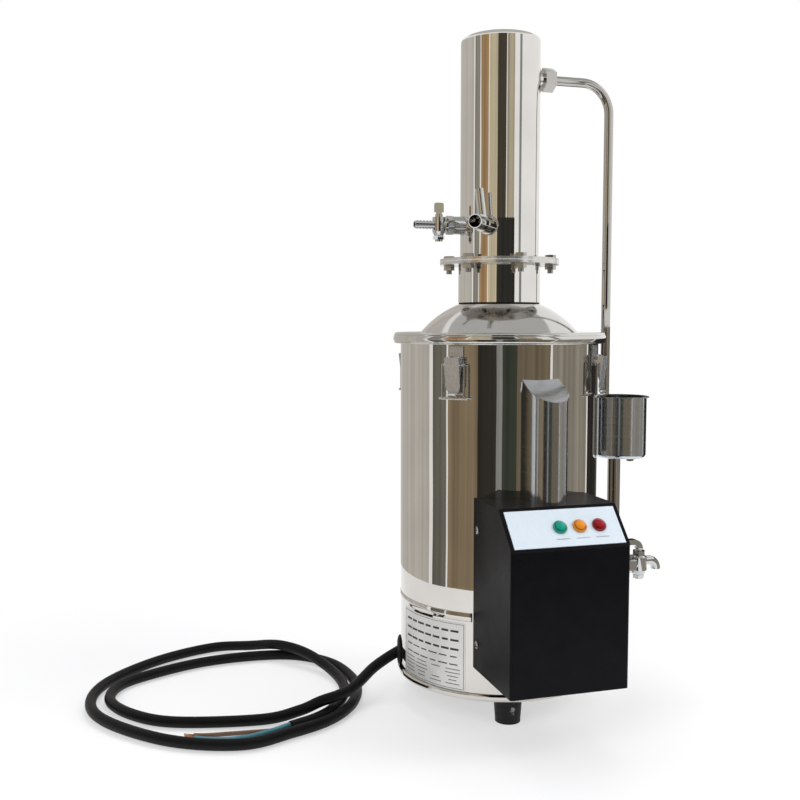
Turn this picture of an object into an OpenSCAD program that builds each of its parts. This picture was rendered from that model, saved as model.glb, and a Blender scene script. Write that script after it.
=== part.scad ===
// Electric water distiller: a heated boiler drum on rubber feet with a clip-on domed lid,
// a water-cooled condenser column bolted to the lid, a feeder cup, two cocks and a control box.
// Millimetres, +Z up. The origin is on the floor, on the drum's upright axis.
// The control box faces -Y and the feeder cup is on +X. Angles run from the front towards +X.

/* [Boiler] */
// Outside radius of the boiler drum
boiler_r = 105; // [100:1:112]
// Height of the drum wall
boiler_h = 360; // [350:1:380]
// Thickness of the drum sheet
shell_t = 1.2; // [1:0.1:1.6]
// Width of the flange round the drum's mouth
mouth_w = 4; // [3:0.5:5]
// Depth of the lip turned down from the mouth flange
mouth_lip = 4.5; // [3.5:0.5:5]
// Height of the boiling chamber's floor above the drum's lower edge
floor_up = 78; // [74:1:84]
// Thickness of the boiling chamber's floor
floor_t = 1.5; // [1:0.1:2]
// Thickness of the base plate
base_t = 1.5; // [1:0.1:2.5]
// How far the rolled base ring stands out from the drum
bead_w = 3.3; // [2:0.1:4.5]
// Height of the rolled base ring
bead_h = 7; // [5:0.5:10]

/* [Feet] */
// Height of a rubber foot
foot_h = 30; // [24:1:36]
// Radius of a foot where it meets the base plate
foot_top_r = 15; // [13:0.5:18]
// Radius of a foot on the floor
foot_floor_r = 13; // [11:0.5:15]
// Radius of the circle that the feet stand on
foot_circle_r = 76; // [70:1:84]
// Direction of the front foot
foot_angle = -13; // [-20:1:-6]
// Radius of a foot screw's shank
foot_screw_r = 3; // [2.5:0.1:3.5]

/* [Lid] */
// Thickness of the lid sheet
lid_t = 1.2; // [1:0.1:1.6]
// Gap between the drum's mouth flange and the lid's skirt
lid_play = 1.8; // [1:0.1:2.5]
// Depth of the lid's skirt
skirt_h = 11.5; // [10:0.5:14]
// Radius of the spherical dome
dome_r = 109; // [104:1:116]
// Radius where the dome meets the lid's flat margin
dome_base_r = 83.5; // [80:0.5:88]
// Thickness of the lid gasket
lid_seal_t = 4; // [3:0.5:5]
// Outside radius of the neck that steam rises through
neck_r = 38; // [34:0.5:40]
// Height of the neck above the lid's seat
neck_h = 24; // [16:1:32]
// Thickness of the black seal under the collar
neck_seal_t = 2; // [1.5:0.1:3]
// Radius of the splash baffle
baffle_r = 56; // [48:1:62]
// How far the splash baffle hangs below the lid's margin
baffle_drop = 12; // [8:1:16]

/* [Condenser] */
// Outside radius of the condenser jacket
jacket_r = 41.8; // [40:0.1:44]
// Height of the jacket above the flange joint
jacket_h = 232; // [200:1:250]
// Thickness of the condenser sheet
jacket_t = 1.2; // [1:0.1:1.5]
// Rounding of the jacket's top edge
jacket_round = 5; // [3:0.5:8]
// Outside radius of the collar below the flange
collar_r = 43.5; // [42:0.1:46]
// Height of the collar up to the flange joint
collar_h = 42.5; // [36:0.5:50]
// Radius of the two flanges
flange_r = 63; // [60:0.5:67]
// Thickness of one flange
flange_t = 2.8; // [2:0.1:4]
// Thickness of the gasket between the flanges
flange_seal_t = 0.6; // [0.4:0.1:1.2]
// Radius of the bolt circle
bolt_circle_r = 54; // [52:0.5:56]
// Number of flange bolts
bolt_count = 6; // [4:1:8]
// Direction of the first flange bolt
bolt_angle = 2; // [-20:1:20]
// Outside radius of the inner steam core
core_r = 33; // [30:0.5:35]

/* [Cooling water] */
// Height of the water inlet above the flange joint
port_up = 38; // [34:1:44]
// Height of the distillate outlet above the flange joint
outlet_up = 36; // [32:1:42]
// Radius of the inlet boss
boss_r = 9.5; // [8.5:0.5:10.5]
// Distance of the inlet cock from the condenser's axis
inlet_reach = 68; // [64:1:74]
// Radius of a cock plug where it turns in its bore
plug_r = 4; // [3.5:0.1:4.4]
// Radial running gap of a cock plug
plug_gap = 0.05; // [0.03:0.01:0.08]
// Radius of the hose tail between its ribs
barb_r = 3.7; // [3.2:0.1:4.2]
// Length of the hose tail
barb_l = 21; // [17:1:23]
// Number of ribs on the hose tail
barb_count = 6; // [4:1:7]
// Direction of the distillate outlet
outlet_angle = -38; // [-45:1:-34]
// Outside radius of the distillate outlet
outlet_r = 7; // [6:0.5:7.5]
// Distance of the outlet's mouth from the condenser's axis
outlet_reach = 88; // [82:1:96]
// Outside radius of the vent tube on the outlet
vent_r = 4.6; // [4:0.1:5.4]
// Height of the vent tube above the outlet's axis
vent_h = 35; // [28:1:42]
// Sideways lean of the vent tube
vent_lean = 7; // [0:1:12]
// Height of the return pipe's union above the flange joint
union_up = 194; // [170:1:200]
// Outside radius of the return pipe
return_r = 5; // [4:0.5:5.5]
// Radius of the return pipe's bend
return_bend_r = 32; // [25:1:40]
// Distance of the return pipe's drop from the drum's axis
return_x = 127; // [124:0.5:129]

/* [Feeder] */
// Distance of the feeder cup from the drum's axis
cup_x = 147; // [145:0.5:149]
// Outside radius of the feeder cup
cup_r = 28.5; // [27.5:0.5:30]
// Height of the feeder cup
cup_h = 68; // [60:1:76]
// Height of the cup's underside above the floor
cup_z = 257; // [245:1:268]
// Thickness of the cup sheet
cup_t = 1; // [0.8:0.1:1.4]
// Outside radius of the feed and drain pipes
feed_r = 7; // [6:0.5:7.5]
// Bore radius of the feed and drain pipes
feed_bore_r = 5.5; // [4.5:0.5:6]
// Distance of the feed pipe from the drum's axis
feed_x = 140; // [138:0.5:142]
// Height of the drain pipe's axis
drain_z = 133; // [128:1:138]
// Distance of the drain tap from the drum's axis
tap_x = 173.5; // [172.5:0.5:177]

/* [Control box] */
// Width of the control box
box_w = 120; // [110:1:130]
// Distance of the box's front from the drum's axis
box_front = 182.5; // [176:0.5:190]
// Height of the box's underside
box_z = 64; // [58:1:70]
// Height of the control box
box_h = 170.5; // [160:0.5:180]
// Thickness of the box sheet
box_t = 1.5; // [1:0.1:2]
// Height of the sloping panel
slope_h = 35; // [30:1:40]
// Depth of the sloping panel
slope_d = 32.5; // [28:0.5:36]
// Width of the lamp plate on the slope
plate_w = 112; // [100:1:114]
// Length of the lamp plate up the slope
plate_l = 40; // [36:1:42]
// Radius of a pilot lamp's lens
lens_r = 6.8; // [6:0.2:8]
// Spacing of the pilot lamps
lamp_pitch = 20; // [18:0.5:22]
// Place of the first pilot lamp across the panel
lamp_x = -5.5; // [-10:0.5:0]

/* [Level chamber] */
// Half the width of the level chamber
level_r = 18.8; // [17:0.2:21]
// Distance of the chamber's front from the drum's axis
level_front = 142; // [138:1:146]
// Place of the chamber across the drum
level_x = 2; // [-3:0.5:4]
// Height of the slanting top at the drum
level_back_z = 351; // [340:1:356]
// Height of the slanting top at the front
level_front_z = 332; // [322:1:338]
// Radius of the float's stem
stem_r = 3; // [2.5:0.1:3.5]
// Travel of the float
float_travel = 18; // [14:1:22]

/* [Clips] */
// Width of a clip's bracket on the drum
strap_w = 15; // [13:0.5:17]
// Width of the bracket's ears, between the lever's cheeks
clip_w = 11.5; // [10:0.5:13]
// Distance of the hinge pin out from the drum wall
clip_pin_out = 5; // [4.5:0.1:6]
// Drop of the hinge pin below the lid's skirt
clip_pin_drop = 14; // [12:0.5:16]
// Length of a clip lever below its pin
lever_l = 35; // [30:1:38]
// Lean of a clip lever's lower end towards the drum
lever_lean = 7; // [4:0.5:9]
// Radius of a clip's hinge pin
pin_r = 1.5; // [1.2:0.1:1.8]
// Radius of the bail wire
wire_r = 1.2; // [1:0.1:1.4]

/* [Cord] */
// Radius of the mains cord
cord_r = 5.75; // [5:0.25:6]
// Radius of one core
wire_core_r = 2.2; // [1.8:0.1:2.4]
// Direction of the cable grommet
grommet_angle = -107.7; // [-108.5:0.1:-107]
// Height of the cable grommet
grommet_z = 48; // [47:0.5:49]
// Radius of the cable grommet's flange
grommet_r = 16.5; // [15:0.5:17]

/* [Hidden] */
$fn = 48;

// Fits
weld_gap = 0.1;
loose_gap = 0.3;
hole_gap = 0.2;

// Radii
drum_in_r = boiler_r - shell_t;
mouth_r = boiler_r + mouth_w;
lid_in_r = mouth_r + lid_play;
lid_r = lid_in_r + lid_t;
collar_in_r = collar_r - jacket_t;
jacket_in_r = jacket_r - jacket_t;
seat_r = collar_r + 1.5;
pin_reach = boiler_r + clip_pin_out;

// Heights, with the dome's centre and the level seat that it is cut to
drum_z = foot_h + base_t;
mouth_z = drum_z + boiler_h;
floor_z = drum_z + floor_up;
lid_z = mouth_z + lid_seal_t;
lid_top_z = lid_z + lid_t;
skirt_z = lid_top_z - skirt_h;
dome_z = lid_top_z - sqrt(dome_r * dome_r - dome_base_r * dome_base_r);
seat_z = dome_z + sqrt(dome_r * dome_r - seat_r * seat_r);
joint_z = seat_z + neck_seal_t + collar_h;
port_z = joint_z + port_up;
outlet_z = joint_z + outlet_up;
union_z = joint_z + union_up;
jacket_z = joint_z + flange_seal_t;
jacket_top_z = jacket_z + jacket_h;
box_top_z = box_z + box_h;
slope_z = box_top_z - slope_h;
pin_z = skirt_z - clip_pin_drop;

// Shared shapes
// Turns the children so that their +X points outwards in direction a.
module facing(a) {
    rotate([0, 0, a - 90]) children();
}

// Extrudes an outline drawn as distance in front of the axis against height, across the width w.
module across(w) {
    rotate([90, 0, -90]) linear_extrude(w, center = true) children();
}

// A tube along +Z.
module tube(ro, ri, h) {
    difference() {
        cylinder(r = ro, h = h);
        translate([0, 0, -1]) cylinder(r = ri, h = h + 2);
    }
}

// A rod along +X from x0 to x1 at the origin's height.
module rod_x(r, x0, x1) {
    translate([x0, 0, 0]) rotate([0, 90, 0]) cylinder(r = r, h = x1 - x0);
}

// A hexagon bar along +Z, measured across its flats.
module hex(flats, h) {
    cylinder(r = flats / 2 / cos(30), h = h, $fn = 6);
}

// Half the outline of a round vessel with a rounded lower edge.
module vessel_outline(r, h, c) {
    translate([0, c]) square([r, h - c]);
    square([r - c, c]);
    translate([r - c, c]) intersection() {
        circle(c);
        translate([0, -c]) square([c, c]);
    }
}

// Boiler
drain_hole_r = feed_r + hole_gap;
grommet_neck_r = grommet_r - 4;
port_r = 5;
port_zs = [box_top_z + 14, level_front_z - 14];
wiring_hole_r = 8;

module boiler_shell() {
    color("silver") difference() {
        rotate_extrude() {
            translate([drum_in_r, drum_z]) square([shell_t, boiler_h]);
            translate([drum_in_r, mouth_z - shell_t]) square([mouth_r - drum_in_r, shell_t]);
            translate([mouth_r - shell_t, mouth_z - mouth_lip]) square([shell_t, mouth_lip]);
        }
        translate([0, 0, drain_z]) rod_x(drain_hole_r, 0, boiler_r + 1);
        translate([0, 0, grommet_z]) facing(grommet_angle) rod_x(grommet_neck_r, 0, boiler_r + 1);
        for (z = port_zs) translate([level_x, 0, z]) facing(0) rod_x(port_r, 0, boiler_r + 1);
        translate([0, 0, box_z + 20]) facing(0) rod_x(wiring_hole_r, 0, boiler_r + 1);
    }
}

floor_skirt_h = 12;

module boiler_floor() {
    pan_r = drum_in_r - loose_gap;
    color("silver") difference() {
        translate([0, 0, floor_z - floor_skirt_h]) cylinder(r = pan_r, h = floor_skirt_h);
        translate([0, 0, floor_z - floor_skirt_h - 1])
            cylinder(r = pan_r - floor_t, h = floor_skirt_h - floor_t + 1);
        for (a = element_leg_angles) facing(a)
            translate([element_ring_r, 0, floor_z - floor_t - 1])
                cylinder(r = element_r + hole_gap, h = floor_t + 2);
    }
}

nut_boss_r = 6;
nut_boss_h = 6;

module at_feet() {
    for (k = [0:2]) facing(foot_angle + 120 * k) translate([foot_circle_r, 0, 0]) children();
}

module base_plate() {
    ring_in_r = boiler_r + loose_gap;
    ring_r = boiler_r + bead_w;
    ring_c = bead_w - loose_gap;
    color("silver") difference() {
        union() {
            translate([0, 0, foot_h]) cylinder(r = ring_in_r, h = base_t);
            rotate_extrude() translate([ring_in_r, foot_h]) {
                translate([0, ring_c]) square([ring_c, bead_h - 2 * ring_c + ring_c / 2]);
                translate([0, ring_c]) intersection() {
                    circle(ring_c);
                    translate([0, -ring_c]) square([ring_c, ring_c]);
                }
                translate([0, bead_h - ring_c / 2]) intersection() {
                    translate([0, -ring_c / 2]) circle(ring_c);
                    translate([0, -ring_c / 2]) square([ring_c, ring_c]);
                }
            }
            at_feet() translate([0, 0, foot_h]) cylinder(r = nut_boss_r, h = base_t + nut_boss_h);
        }
        at_feet() translate([0, 0, foot_h - 1])
            cylinder(r = foot_screw_r + hole_gap, h = base_t + nut_boss_h + 2);
    }
}

foot_recess_r = 7.5;
foot_recess_h = 10;
foot_lip = 2;

module rubber_feet() {
    color([0.08, 0.08, 0.09]) at_feet() difference() {
        union() {
            translate([0, 0, foot_lip])
                cylinder(r1 = foot_floor_r, r2 = foot_top_r, h = foot_h - foot_lip);
            cylinder(r = foot_floor_r, h = foot_lip);
        }
        translate([0, 0, -1]) cylinder(r = foot_recess_r, h = foot_recess_h + 1);
        translate([0, 0, -1]) cylinder(r = foot_screw_r + hole_gap, h = foot_h + 2);
    }
}

module foot_screws() {
    head_r = foot_screw_r + 2.5;
    head_h = foot_screw_r;
    color("gray") at_feet() {
        translate([0, 0, foot_recess_h - head_h]) cylinder(r = head_r, h = head_h);
        translate([0, 0, foot_recess_h])
            cylinder(r = foot_screw_r, h = foot_h - foot_recess_h + base_t + nut_boss_h - 1);
    }
}

// Heater
element_r = 5;
element_ring_r = 62;
element_up = 24;
element_gap = 44;
element_leg_angles = [-element_gap / 2, element_gap / 2];
element_tail = 22;
element_nut_h = 7;
element_nut_flats = 17;

module heating_element() {
    color("dimgray") {
        translate([0, 0, floor_z + element_up])
            rotate([0, 0, element_gap / 2 - 90])
                rotate_extrude(angle = 360 - element_gap) translate([element_ring_r, 0]) circle(element_r);
        for (a = element_leg_angles) facing(a) translate([element_ring_r, 0, 0]) {
            translate([0, 0, floor_z - element_tail])
                cylinder(r = element_r, h = element_up + element_tail);
            translate([0, 0, floor_z + element_up]) sphere(element_r);
            translate([0, 0, floor_z - element_tail - 8]) cylinder(r = 2, h = 9);
        }
    }
}

module element_nuts() {
    color("goldenrod") for (a = element_leg_angles) facing(a) translate([element_ring_r, 0, 0]) {
        for (z = [floor_z, floor_z - floor_t - element_nut_h]) translate([0, 0, z]) difference() {
            hex(element_nut_flats, element_nut_h);
            translate([0, 0, -1]) cylinder(r = element_r + weld_gap, h = element_nut_h + 2);
        }
    }
}

block_l = 54;
block_w = 24;
block_h = 20;
block_poles = 3;
block_place = [-block_l / 2 - 3, block_w * 2 / 3, drum_z];

module terminal_block() {
    pitch = block_l / block_poles;
    color("ivory") translate(block_place) difference() {
        union() {
            translate([-block_l / 2, -block_w / 2, 0]) cube([block_l, block_w, block_h * 0.6]);
            for (k = [0:block_poles - 1])
                translate([-block_l / 2 + pitch * k + 2, -block_w / 2, 0])
                    cube([pitch - 4, block_w, block_h]);
        }
        for (k = [0:block_poles - 1]) translate([-block_l / 2 + pitch * (k + 0.5), 0, block_h * 0.6])
            cylinder(r = 3, h = block_h);
    }
}

// Control box
box_back = boiler_r / 2;
box_round = 3;
slope_a = atan2(slope_h, slope_d);
front_mitre = box_t * tan((90 - slope_a) / 2);
top_mitre = box_t * tan(slope_a / 2);
spigot_r = 4.8;
plate_t = 0.8;
screw_r = 2;
bracket_w = 0.18 * box_w;
bracket_t = 2;
bracket_margin = 0.05 * box_h;
screw_zs = [box_z + 0.1525 * box_h, box_top_z - 0.176 * box_h];

// Distance in front of the axis at which the drum wall stands, at x across.
function drum_front(x) = sqrt(boiler_r * boiler_r - x * x);
screw_d = drum_front(box_w / 2) + box_w / 11;

module box_profile() {
    polygon([[box_back, box_z], [box_front, box_z], [box_front, slope_z],
        [box_front - slope_d, box_top_z], [box_back, box_top_z]]);
}

module box_cavity_profile() {
    polygon([[box_back - 1, box_z + box_t], [box_front - box_t, box_z + box_t],
        [box_front - box_t, slope_z - front_mitre],
        [box_front - slope_d - top_mitre, box_top_z - box_t], [box_back - 1, box_top_z - box_t]]);
}

module box_plan() {
    half = box_w / 2;
    translate([-half, -(box_front - box_round)]) square([box_w, box_front]);
    translate([-half + box_round, -box_front]) square([box_w - 2 * box_round, box_front]);
    for (s = [-1, 1]) translate([s * (half - box_round), -(box_front - box_round)]) circle(box_round);
}

module on_slope() {
    translate([0, -(box_front - slope_d / 2), slope_z + slope_h / 2]) rotate([slope_a, 0, 0]) children();
}

module at_lamps() {
    for (k = [0:2]) on_slope() translate([lamp_x + lamp_pitch * k, 0, 0]) children();
}

module at_box_screws() {
    for (s = [-1, 1], z = screw_zs)
        translate([s * box_w / 2, -screw_d, z]) rotate([0, s * 90, 0]) children();
}

module control_box() {
    color([0.09, 0.09, 0.1]) difference() {
        intersection() {
            across(box_w) box_profile();
            translate([0, 0, box_z - 1]) linear_extrude(box_h + 2) box_plan();
        }
        across(box_w - 2 * box_t) box_cavity_profile();
        translate([0, 0, box_z - 1]) cylinder(r = boiler_r + loose_gap, h = box_h + 2);
        at_lamps() translate([0, 0, -box_t - 1]) cylinder(r = spigot_r + hole_gap, h = box_t + 2);
        at_box_screws() translate([0, 0, -box_t - 1]) cylinder(r = screw_r + hole_gap, h = box_t + 2);
    }
}

module box_brackets() {
    inner = box_w / 2 - box_t;
    color("gray") difference() {
        for (s = [-1, 1]) translate([s * (inner - bracket_t / 2), 0, box_z + box_t + bracket_margin])
            translate([-bracket_t / 2, -screw_d - bracket_w / 2, 0])
                cube([bracket_t, bracket_w, box_h - 2 * box_t - 2 * bracket_margin]);
        translate([0, 0, box_z]) cylinder(r = boiler_r + loose_gap, h = box_h);
        at_box_screws() translate([0, 0, -box_t - bracket_t - 1])
            cylinder(r = screw_r + weld_gap, h = bracket_t + 2);
    }
}

module box_screws() {
    head_r = screw_r + 2;
    color("lightgray") at_box_screws() {
        translate([0, 0, -box_t - bracket_t - 1]) cylinder(r = screw_r, h = box_t + bracket_t + 1);
        intersection() {
            cylinder(r = head_r, h = screw_r);
            translate([0, 0, screw_r - 2 * head_r]) sphere(2 * head_r);
        }
    }
}

module lamp_plate() {
    color("aliceblue") difference() {
        on_slope() translate([-plate_w / 2, -plate_l / 2, 0]) cube([plate_w, plate_l, plate_t]);
        at_lamps() translate([0, 0, -1]) cylinder(r = spigot_r + hole_gap, h = plate_t + 2);
    }
}

lens_rim_h = 1.6;
lens_rise = 3.8;
spigot_l = 5;

// One pilot lamp's lens: a domed cap with a spigot through the panel.
module lens(k) {
    cap_r = lens_r - 0.5;
    cap_sphere_r = (cap_r * cap_r + lens_rise * lens_rise) / (2 * lens_rise);
    on_slope() translate([lamp_x + lamp_pitch * k, 0, plate_t]) {
        cylinder(r = lens_r, h = lens_rim_h);
        intersection() {
            translate([0, 0, lens_rim_h]) cylinder(r = cap_r, h = lens_rise + 1);
            translate([0, 0, lens_rim_h + lens_rise - cap_sphere_r]) sphere(cap_sphere_r);
        }
        translate([0, 0, -spigot_l]) cylinder(r = spigot_r, h = spigot_l);
    }
}

module lamp_green() {
    color("seagreen") lens(0);
}

module lamp_amber() {
    color("darkorange") lens(1);
}

module lamp_red() {
    color("crimson") lens(2);
}

lamp_body_r = 6;
lamp_body_l = 22;

module lamp_bodies() {
    socket_l = spigot_l - plate_t - box_t + loose_gap;
    color("dimgray") at_lamps() translate([0, 0, -box_t - lamp_body_l]) difference() {
        union() {
            cylinder(r = lamp_body_r, h = lamp_body_l);
            for (s = [-1, 1]) translate([s * 2.5 - 0.4, -1.5, -6]) cube([0.8, 3, 7]);
        }
        translate([0, 0, lamp_body_l - socket_l]) cylinder(r = spigot_r + weld_gap, h = socket_l + 1);
    }
}

relay_w = 46;
relay_d = 50;
relay_h = 76;

module power_relay() {
    step = 9;
    color("whitesmoke") translate([0, -(box_front - box_t - 4), box_z + box_t]) difference() {
        translate([-relay_w / 2, 0, 0]) cube([relay_w, relay_d, relay_h]);
        for (z = [-1, relay_h - step]) translate([-relay_w / 2 - 1, -1, z])
            cube([relay_w + 2, relay_d * 0.5, step + 1]);
        for (k = [-1:1], z = [step / 2, relay_h - step / 2])
            translate([k * relay_w / 4, relay_d * 0.5 - 1, z]) rotate([-90, 0, 0]) cylinder(r = 3, h = 6);
    }
}

// Level chamber and float
level_t = 1.2;
level_cap_t = 1.5;
level_lip = 0.8;
level_mid = level_front - level_r;

// Height of the slanting top at distance d in front of the axis.
function level_top(d) =
    level_back_z + (level_front_z - level_back_z) * (d - boiler_r) / (level_front - boiler_r);

module level_plan(grow) {
    r = level_r + grow;
    translate([level_x, -level_mid]) circle(r);
    translate([level_x - r, -level_mid]) square([2 * r, level_mid]);
}

module level_profile(z0, drop) {
    far = level_front + 10;
    polygon([[0, z0], [far, z0], [far, level_top(far) - drop], [0, level_top(0) - drop]]);
}

module level_slice(grow, z0, drop) {
    intersection() {
        translate([0, 0, z0 - 1]) linear_extrude(level_back_z + boiler_r - z0) level_plan(grow);
        across(4 * level_r) level_profile(z0, drop);
    }
}

module level_chamber() {
    color("silver") difference() {
        union() {
            level_slice(0, box_top_z, 0);
            difference() {
                level_slice(level_lip, box_top_z, 0);
                across(5 * level_r) level_profile(box_top_z - 1, level_cap_t);
            }
        }
        level_slice(-level_t, box_top_z + level_t, level_cap_t);
        translate([0, 0, box_top_z - 1]) cylinder(r = boiler_r + loose_gap, h = boiler_h);
    }
}

float_r = 13;
float_h = 26;
stop_r = 5;
stop_h = 3;
float_rest_z = box_top_z + level_t + 22;

module at_float() {
    translate([level_x, -level_mid, 0]) children();
}

module float_stem() {
    top_stop_z = float_rest_z + float_h + float_travel + loose_gap;
    color("silver") at_float() {
        translate([0, 0, box_top_z + level_t])
            cylinder(r = stem_r, h = top_stop_z + 2 * stop_h - box_top_z - level_t);
        translate([0, 0, box_top_z + level_t]) hex(2 * stop_r, stop_h + 1);
        translate([0, 0, float_rest_z - stop_h - loose_gap]) cylinder(r = stop_r, h = stop_h);
        translate([0, 0, top_stop_z]) cylinder(r = stop_r, h = stop_h);
    }
}

module float_ball() {
    edge = 6;
    color("gainsboro") at_float() translate([0, 0, float_rest_z]) rotate_extrude() difference() {
        union() {
            translate([0, edge]) square([float_r, float_h - 2 * edge]);
            square([float_r - edge, float_h]);
            for (y = [edge, float_h - edge]) translate([float_r - edge, y]) circle(edge);
        }
        translate([-float_r, -1]) square([float_r + stem_r + plug_gap, float_h + 2]);
    }
}

// Feeder and drain
cup_round = 4;
cup_rim_w = 2.6;
cup_rim_t = 1;
overflow_x = cup_x + 13;
overflow_r = 4;
overflow_nut_r = 5.5;
overflow_nut_h = 3.5;

module feeder_cup() {
    color("silver") translate([cup_x, 0, cup_z]) difference() {
        rotate_extrude() {
            difference() {
                vessel_outline(cup_r, cup_h, cup_round);
                translate([0, cup_t]) vessel_outline(cup_r - cup_t, cup_h, cup_round - cup_t);
            }
            translate([cup_r - cup_t, cup_h - cup_rim_t]) square([cup_rim_w + cup_t, cup_rim_t]);
        }
        translate([feed_x - cup_x, 0, -1]) cylinder(r = feed_r + weld_gap, h = cup_t + 2);
        translate([overflow_x - cup_x, 0, -1]) cylinder(r = overflow_r + weld_gap, h = cup_t + 2);
    }
}

module overflow_pipe() {
    tail = 2;
    color("silver") translate([overflow_x, 0, cup_z]) difference() {
        union() {
            translate([0, 0, -overflow_nut_h - tail]) cylinder(r = overflow_r, h = cup_h * 0.7);
            translate([0, 0, -overflow_nut_h]) cylinder(r = overflow_nut_r, h = overflow_nut_h);
            translate([0, 0, cup_t]) cylinder(r = overflow_nut_r, h = 2);
        }
        translate([0, 0, -overflow_nut_h - tail - 1]) cylinder(r = overflow_r - 1, h = cup_h);
    }
}

tee_r = feed_r + 2;
tee_h = 20;
tee_stop = feed_r + 1;

module feed_pipe() {
    foot_z = drain_z + tee_stop;
    color("silver") translate([feed_x, 0, foot_z]) tube(feed_r, feed_bore_r, cup_z + cup_t + 2 - foot_z);
}

tap_socket_l = 13;
tap_socket_x = tap_x - 20.5;
drain_end_x = tap_socket_x + tap_socket_l - 3;

module drain_pipe() {
    color("silver") translate([0, 0, drain_z]) difference() {
        union() {
            rod_x(feed_r, drum_in_r - 3, drain_end_x);
            translate([feed_x, 0, 0]) cylinder(r = tee_r, h = tee_h);
            rod_x(tee_r, feed_x - tee_r - 3, feed_x + tee_r + 3);
        }
        rod_x(feed_bore_r, drum_in_r - 4, drain_end_x + 1);
        translate([feed_x, 0, 0]) cylinder(r = feed_bore_r, h = tee_h + 1);
        translate([feed_x, 0, tee_stop]) cylinder(r = feed_r + weld_gap, h = tee_h);
    }
}

tap_r = 9;
tap_waist_r = 6.5;
tap_up = 10;
tap_down = 12;
gland_h = 5;
spout_r = 5.2;
spout_bore_r = 3.6;
spout_bend_r = 9;
spout_x = 21.5;
spout_up = 3;
spout_drop = 10;

module spout(r) {
    turn_x = spout_x - spout_bend_r;
    translate([0, 0, spout_up]) {
        rod_x(r, 0, turn_x);
        translate([turn_x, 0, -spout_bend_r]) rotate([90, 0, 0])
            rotate_extrude(angle = 90) translate([spout_bend_r, 0]) circle(r);
        translate([spout_x, 0, -spout_drop]) cylinder(r = r, h = spout_drop - spout_bend_r);
    }
}

module tap_body() {
    socket_r = feed_r + 2.5;
    color("gainsboro") translate([tap_x, 0, drain_z]) difference() {
        union() {
            translate([0, 0, -tap_down + 5]) cylinder(r = tap_r, h = tap_up + tap_down - 7);
            translate([0, 0, -tap_down]) cylinder(r1 = tap_waist_r, r2 = tap_r, h = 5);
            translate([0, 0, tap_up - 2]) cylinder(r1 = tap_r, r2 = tap_waist_r, h = 2);
            translate([0, 0, tap_up]) hex(2 * tap_waist_r, gland_h);
            rod_x(socket_r - 2, tap_socket_x - tap_x, 0);
            translate([tap_socket_x - tap_x, 0, 0]) rotate([0, 90, 0]) hex(2 * socket_r, tap_socket_l);
            spout(spout_r);
        }
        rod_x(feed_r + weld_gap, tap_socket_x - tap_x - 1, drain_end_x - tap_x + weld_gap);
        rod_x(spout_bore_r, tap_socket_x - tap_x, 0);
        spout(spout_bore_r);
        translate([spout_x, 0, spout_up - spout_drop - 1]) cylinder(r = spout_bore_r, h = 2);
        translate([0, 0, -tap_down - 1]) cylinder(r = plug_r + plug_gap, h = tap_up + tap_down + gland_h + 2);
    }
}

lever_bend_r = 8;
lever_reach = 12;
blade_t = 6;
blade_w = 8;
plug_nut_h = 4;

// Side view of the tap's lever: a blade that rises from the stem and bends back over the drain pipe.
module lever_outline() {
    half = blade_t / 2;
    translate([-half, -1]) square([blade_t, 1.5]);
    translate([-lever_bend_r, 0]) {
        intersection() {
            difference() {
                circle(lever_bend_r + half);
                circle(lever_bend_r - half);
            }
            square(lever_bend_r + blade_t);
        }
        translate([-lever_reach, lever_bend_r - half]) square([lever_reach + 0.5, blade_t]);
        translate([-lever_reach, lever_bend_r]) circle(half);
    }
}

module tap_plug() {
    stem_top = tap_up + gland_h + 2.5;
    color("gainsboro") translate([tap_x, 0, drain_z]) {
        difference() {
            translate([0, 0, -tap_down - loose_gap - plug_nut_h - 1])
                cylinder(r = plug_r, h = stem_top + tap_down + loose_gap + plug_nut_h + 1);
            rotate([90, 0, 0]) cylinder(r = plug_r * 0.6, h = 4 * plug_r, center = true);
        }
        translate([0, 0, -tap_down - loose_gap - plug_nut_h]) hex(2 * plug_r + 4, plug_nut_h);
        translate([0, 0, stem_top - 2]) cylinder(r1 = plug_r, r2 = plug_r + 1, h = 3);
        translate([0, 0, stem_top]) rotate([90, 0, 0]) linear_extrude(blade_w, center = true) lever_outline();
    }
}

// Clips
clip_angles = [-45, 45, 135, -135];
plate_th = 1.5;
ear_t = 1.4;
ear_drop = 5;
lever_t = 1.2;
lever_play = 0.4;
lever_out = 6.5;
lever_head = 2.2;
curl_r = 2.6;
bail_out = 2.5;
bail_drop = 5.5;
bail_l = 33;
bail_ear = 3;
bail_half = clip_w / 2 + lever_play + lever_t + 3 + wire_r;

// The children stand at a clip's hinge pin, with +X outwards and Y along the pin.
module at_pin(k) {
    facing(clip_angles[k]) translate([pin_reach, 0, pin_z]) children();
}

module clip_brackets() {
    color("lightgray") for (k = [0:3]) difference() {
        at_pin(k) difference() {
            union() {
                translate([-clip_pin_out - 2, -strap_w / 2, -ear_drop - 3])
                    cube([plate_th + 2, strap_w, clip_pin_drop + ear_drop + 1.5]);
                for (s = [-1, 1]) translate([0, s * (clip_w - ear_t) / 2 - ear_t / 2, 0]) {
                    translate([-clip_pin_out, 0, -ear_drop]) cube([clip_pin_out, ear_t, ear_drop + 3]);
                    rotate([-90, 0, 0]) cylinder(r = pin_r + 1.5, h = ear_t);
                }
            }
            rotate([90, 0, 0]) cylinder(r = pin_r + weld_gap, h = 2 * clip_w, center = true);
        }
        translate([0, 0, drum_z]) cylinder(r = boiler_r + loose_gap, h = boiler_h, $fn = 240);
    }
}

pin_l = clip_w + 2 * lever_play + 2 * lever_t + 1;

module clip_pins() {
    color("gray") for (k = [0:3]) at_pin(k) rotate([90, 0, 0])
        cylinder(r = pin_r, h = pin_l, center = true);
}

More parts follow.
